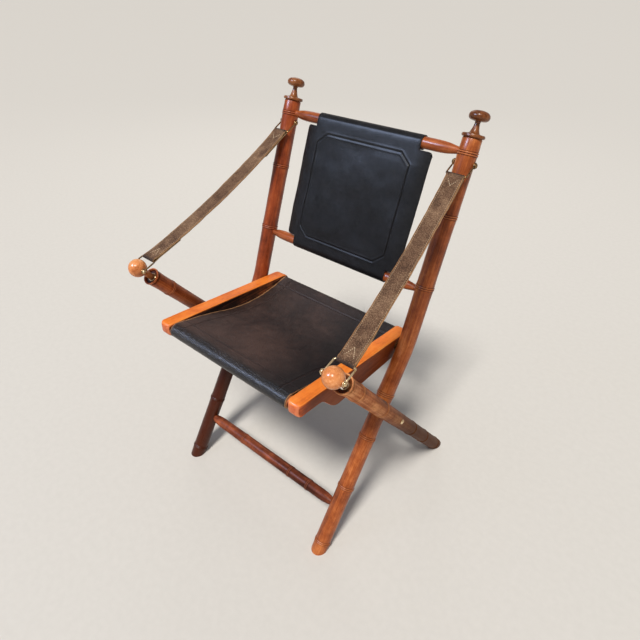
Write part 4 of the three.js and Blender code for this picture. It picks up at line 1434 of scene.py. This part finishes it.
STRAP_COLUMNS = [-17.4, -16.8, -16, -15, -13.8, -12, -8, -3, 3, 8, 12, 13.8, 15, 16, 16.8, 17.4]
strap_points = strap_path()
strap_runs = run_lengths(strap_points)
strap_flat = float(strap_runs[-1])
strap = sheet_mesh("strap_whole", STRAP_COLUMNS, strap_points, strap_place)


def strap_shade_and_fray(across, run):
    """1 where the strap turns round a wire, darkened there by painted shade, and below 0 along its pale
    edges.
    """
    along = np.interp(run, strap_runs, strap_points[:, 0])
    turn = max(0, 1 - min(abs(along + 1), abs(along - STRAP_LENGTH - 1)) / 4)
    return turn or -max(0, 1 - (STRAP_HALF - abs(across)) / 3)


note(strap, "polish", [strap_shade_and_fray(across, run) for across, run in flats_of(strap)])
thickened(strap, STRAP_THICKNESS, strap_hide, raw_edge, 0.5)
print("strap between bails:", round(STRAP_LENGTH, 1), "and cut length:", round(strap_flat, 1))

# %% [markdown]
# One stitch is a short bead of thread. It is modelled once, and a helper sets a copy at every step of
# a line, joined into one mesh because there are hundreds of them.

# %% One stitch and a row of them
STITCH = 3.0
THREAD_RADIUS = 0.52
SEAT_PITCH, EDGE_PITCH, POINT_PITCH = 5, 4.2, 3.6
EDGE_ROW = 14.4


def stitch_seed():
    """One stitch, thick in its middle and thin at its ends."""
    bpy.ops.object.select_all(action="DESELECT")
    size = {"radius": THREAD_RADIUS * MM, "depth": STITCH * MM}
    bpy.ops.mesh.primitive_cylinder_add(vertices=6, end_fill_type="TRIFAN", **size)
    seed = bpy.context.object
    bpy.ops.object.mode_set(mode="EDIT")
    bpy.ops.mesh.select_all(action="SELECT")
    bpy.ops.mesh.subdivide(number_cuts=1)
    bpy.ops.object.mode_set(mode="OBJECT")
    places = points_of(seed)
    taper = 1 - 0.6 * (abs(places[:, 2]) / (STITCH / 2 * MM)) ** 2
    places[:, :2] *= taper[:, None]
    seed.data.vertices.foreach_set("co", places.ravel())
    return seed


seed = stitch_seed()


def stitches(name, ends, weight=1.0):
    """One mesh with a stitch between each pair of points, in millimetres. Weight thickens the thread."""
    made = []
    for start, end in ends:
        run = end - start
        turn = Vector((0, 0, 1)).rotation_difference(run.normalized()).to_matrix().to_4x4()
        stretch = Matrix.Diagonal((weight, weight, run.length / STITCH, 1))
        stitch = copied(seed, name)
        stitch.matrix_world = Matrix.Translation((start + end) / 2 * MM) @ turn @ stretch
        made.append(stitch)
    bpy.context.view_layer.update()
    only(made[0])
    for stitch in made:
        stitch.select_set(True)
    bpy.ops.object.join()
    bpy.ops.object.transform_apply(location=True, rotation=True, scale=True)
    smoothed(made[0], 60)
    print(name, "has", len(ends), "stitches")
    return made[0]


def strap_row(first, last, pitch, lift):
    """Stitches from one (across, along) to another, with gaps between them."""
    first, last = Vector(first), Vector(last)
    count = max(1, round((last - first).length / pitch))
    ends = []
    for step in range(count):
        start = first.lerp(last, step / count)
        end = first.lerp(last, (step + 0.66) / count)
        ends.append((strap_point(*start, lift), strap_point(*end, lift)))
    return ends


def seat_row(first, last, pitch):
    """Stitches on the top of the seat from one (across, run) to another, both in millimetres."""
    first, last = Vector(first), Vector(last)
    count = max(1, round((last - first).length / pitch))
    ends = []
    for step in range(count):
        pair = []
        for share in (step / count, (step + 0.6) / count):
            across, run = first.lerp(last, share)
            point = [np.interp(run, seat_runs, seat_points[:, axis]) for axis in (0, 1)]
            pair.append(Vector(seat_place(across, point, run)) + Vector((0, 0, SEAT_THICKNESS / 2 + 0.1)))
        ends.append(pair)
    return ends


# %% [markdown]
# The seat's lines and seams get dark thread. The straps get brown thread along each edge, and at each
# end a pointed row of pale thread closes the fold.

# %% Stitches
seat_rows = []
FIRST_ROW, LAST_ROW = seat_runs[front_crest] + 2, seat_runs[rear_crest] - 2
for line in (-SEAT_LINE, SEAT_LINE):
    seat_rows += seat_row((line, FIRST_ROW), (line, LAST_ROW), SEAT_PITCH)
for run in (FRONT_SEAM, REAR_SEAM):
    seat_rows += seat_row((3 - SEAT_HALF, run), (SEAT_HALF - 3, run), SEAT_PITCH)
seed.data.materials.append(dark_thread)
seat_threads = stitches("seat_threads", seat_rows)
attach(seat_threads, "seat_frame")
seed.data.materials.clear()

STRAP_TOP = LAYER + STRAP_THICKNESS / 2 + 0.05
edge_rows = []
for across in (-EDGE_ROW, EDGE_ROW):
    edge_rows += strap_row((across, 10), (across, STRAP_LENGTH - 10), EDGE_PITCH, STRAP_TOP)
point_rows = []
for side in (-EDGE_ROW, EDGE_ROW):
    point_rows += strap_row((0, 26), (side, 5), POINT_PITCH, STRAP_TOP)
    low_end = (side * 0.8, STRAP_LENGTH - 7)
    point_rows += strap_row((0, STRAP_LENGTH - 31), low_end, POINT_PITCH, STRAP_TOP)
seed.data.materials.append(brown_thread)
edge_threads = stitches("strap_edge_threads", edge_rows, 1.15)
seed.data.materials.clear()
seed.data.materials.append(pale_thread)
point_threads = stitches("strap_point_threads", point_rows, 1.4)
only(strap)
edge_threads.select_set(True)
point_threads.select_set(True)
bpy.ops.object.join()
print("strap faces with stitches:", len(strap.data.polygons))

# %% [markdown]
# The strap crosses three joints: two swinging bails and the main fold. So it is cut into three lengths
# across its straight part, and the strap of the imported model is hidden.

# %% Cut the straps
CUT = 100


def part_of_strap(piece, name, start, end):
    """The length of a strap between two distances from the upper bail."""
    twin = copied(piece, name)
    only(twin)
    mirror = Vector((-1, 1, 1)) if "left" in name else Vector((1, 1, 1))
    axis = STRAP_AXIS * mirror
    for along, outward in ((start, -1), (end, 1)):
        if along is None:
            continue
        place = (STRAP_START + STRAP_AXIS * along) * mirror * MM
        bpy.ops.object.mode_set(mode="EDIT")
        bpy.ops.mesh.select_all(action="SELECT")
        settings = {"use_fill": True, "clear_outer": True, "threshold": 0.000001}
        bpy.ops.mesh.bisect(plane_co=place, plane_no=axis * outward, **settings)
        bpy.ops.object.mode_set(mode="OBJECT")
    smoothed(twin, 50)
    return twin


def strap_at(along, word):
    """The place on the right or left strap's straight line at this distance, in metres."""
    mirror = Vector((-1, 1, 1)) if word == "left" else Vector((1, 1, 1))
    return (STRAP_START + STRAP_AXIS * along) * mirror * MM


MIDDLE_LENGTH = STRAP_LENGTH - 2 * CUT
END_LENGTH = (strap_flat - MIDDLE_LENGTH) / 2
print("strap lengths before bending:", round(END_LENGTH, 1), round(MIDDLE_LENGTH, 1))
strap_left = mirrored(strap, "strap_whole_left")
for word, whole in (("right", strap), ("left", strap_left)):
    upper = part_of_strap(whole, f"strap_upper_{word}", None, CUT)
    middle = part_of_strap(whole, f"strap_middle_{word}", CUT, STRAP_LENGTH - CUT)
    lower = part_of_strap(whole, f"strap_lower_{word}", STRAP_LENGTH - CUT, None)
    joins = [strap_at(along, word) for along in (8, CUT, STRAP_LENGTH - CUT, STRAP_LENGTH - 8)]
    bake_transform(upper)
    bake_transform(middle)
    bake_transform(lower)
    bails = [f"{word}_post_bail", f"{word}_arm_bail"]
    lengths = ((upper, END_LENGTH, bails[:1]), (middle, MIDDLE_LENGTH, bails), (lower, END_LENGTH, bails[1:]))
    for piece, length, holders in lengths:
        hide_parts(f"{word}_arm_strap")
        length * MM
for spare in (strap, strap_left, seed):
    bpy.data.objects.remove(spare)

# %% [markdown]
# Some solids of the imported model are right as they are: the bars inside the seat leather, and the
# bolts and washers that the rails turn on. They only need a finish. They have no grain attribute, so
# their wood is laid out by object coordinates instead.

# %% Finishes for the solids that stay
def plain_wood(name, dark, light):
    finish = Finish(name)
    place = finish.node("ShaderNodeTexCoord", output="Object")
    streaks = finish.noise(place, (5, 120, 120), 5, 0.6, 0.5)
    pores = finish.noise(place, (40, 1100, 1100), 2)
    return finish.close(
        base_color=finish.ramp(streaks, [(0.3, dark), (0.7, light)]),
        roughness=0.35 + pores * 0.2,
        normal=finish.bumps(pores, 0.25, 0.0004),
    )


hidden_wood = plain_wood("seat_bar_varnish", tone(120, 60, 30), tone(190, 110, 60))
kept = {"seat_front_bar": hidden_wood, "seat_rear_bar": hidden_wood}
for word in ("left", "right"):
    kept |= {f"{word}_seat_bolt": dark_brass, f"{word}_seat_washer": dark_brass}
for node, finish in kept.items():
    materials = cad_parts[node].data.materials
    materials.clear()
    materials.append(finish)
print("solids that stay:", sorted(kept))

# %% [markdown]
# The stage is a plain pale floor under soft light. The main light is a broad sun, high up in front and a
# little to the right. A cool lamp at the front left is what the top of the leather back mirrors. It is
# kept off matt surfaces, because it would tint the floor. A weak lamp behind gives the seat its sheen.

# %% Floor and lamps
floor_finish = Finish("pale_floor")
floor_place = floor_finish.node("ShaderNodeTexCoord", output="Object")
speckle = floor_finish.noise(floor_place, (60, 60, 60), 2)
floor_finish.close(
    base_color=floor_finish.ramp(speckle, [(0.3, tone(208, 206, 202)), (0.7, tone(211, 209, 205))]),
    roughness=0.8,
)
bpy.ops.object.select_all(action="DESELECT")
bpy.ops.mesh.primitive_plane_add(size=80)
floor = bpy.context.object
floor.name = "floor"
floor.data.materials.append(floor_finish.material)


def lamp(name, kind, place, power, colour, size):
    """A lamp at this place, turned towards the middle of the chair."""
    bpy.ops.object.select_all(action="DESELECT")
    bpy.ops.object.light_add(type=kind, location=place)
    made = bpy.context.object
    made.name = name
    made.data.energy = power
    made.data.color = colour
    if kind == "SUN":
        made.data.angle = size
    else:
        made.data.size = size
    made.rotation_euler = (Vector((0, 0, 0.45)) - Vector(place)).to_track_quat("-Z", "Y").to_euler()
    return made


lamp("key_sun", "SUN", (0.55, -2.2, 4.2), 3.25, (1, 0.95, 0.88), math.radians(12))
window = lamp("window_lamp", "AREA", (-2.0, -2.9, 3.3), 250, (0.56, 0.69, 1), 1.1)
window.visible_diffuse = False
lamp("rear_lamp", "AREA", (-1.9, 2.3, 2.3), 9, (1, 0.95, 0.9), 1.4)
world = bpy.data.worlds.new("studio")
bpy.context.scene.world = world
world.use_nodes = True
world.node_tree.nodes["Background"].inputs["Color"].default_value = (0.95, 0.96, 1, 1)
world.node_tree.nodes["Background"].inputs["Strength"].default_value = 0.26
bpy.context.scene.view_settings.view_transform = "Standard"
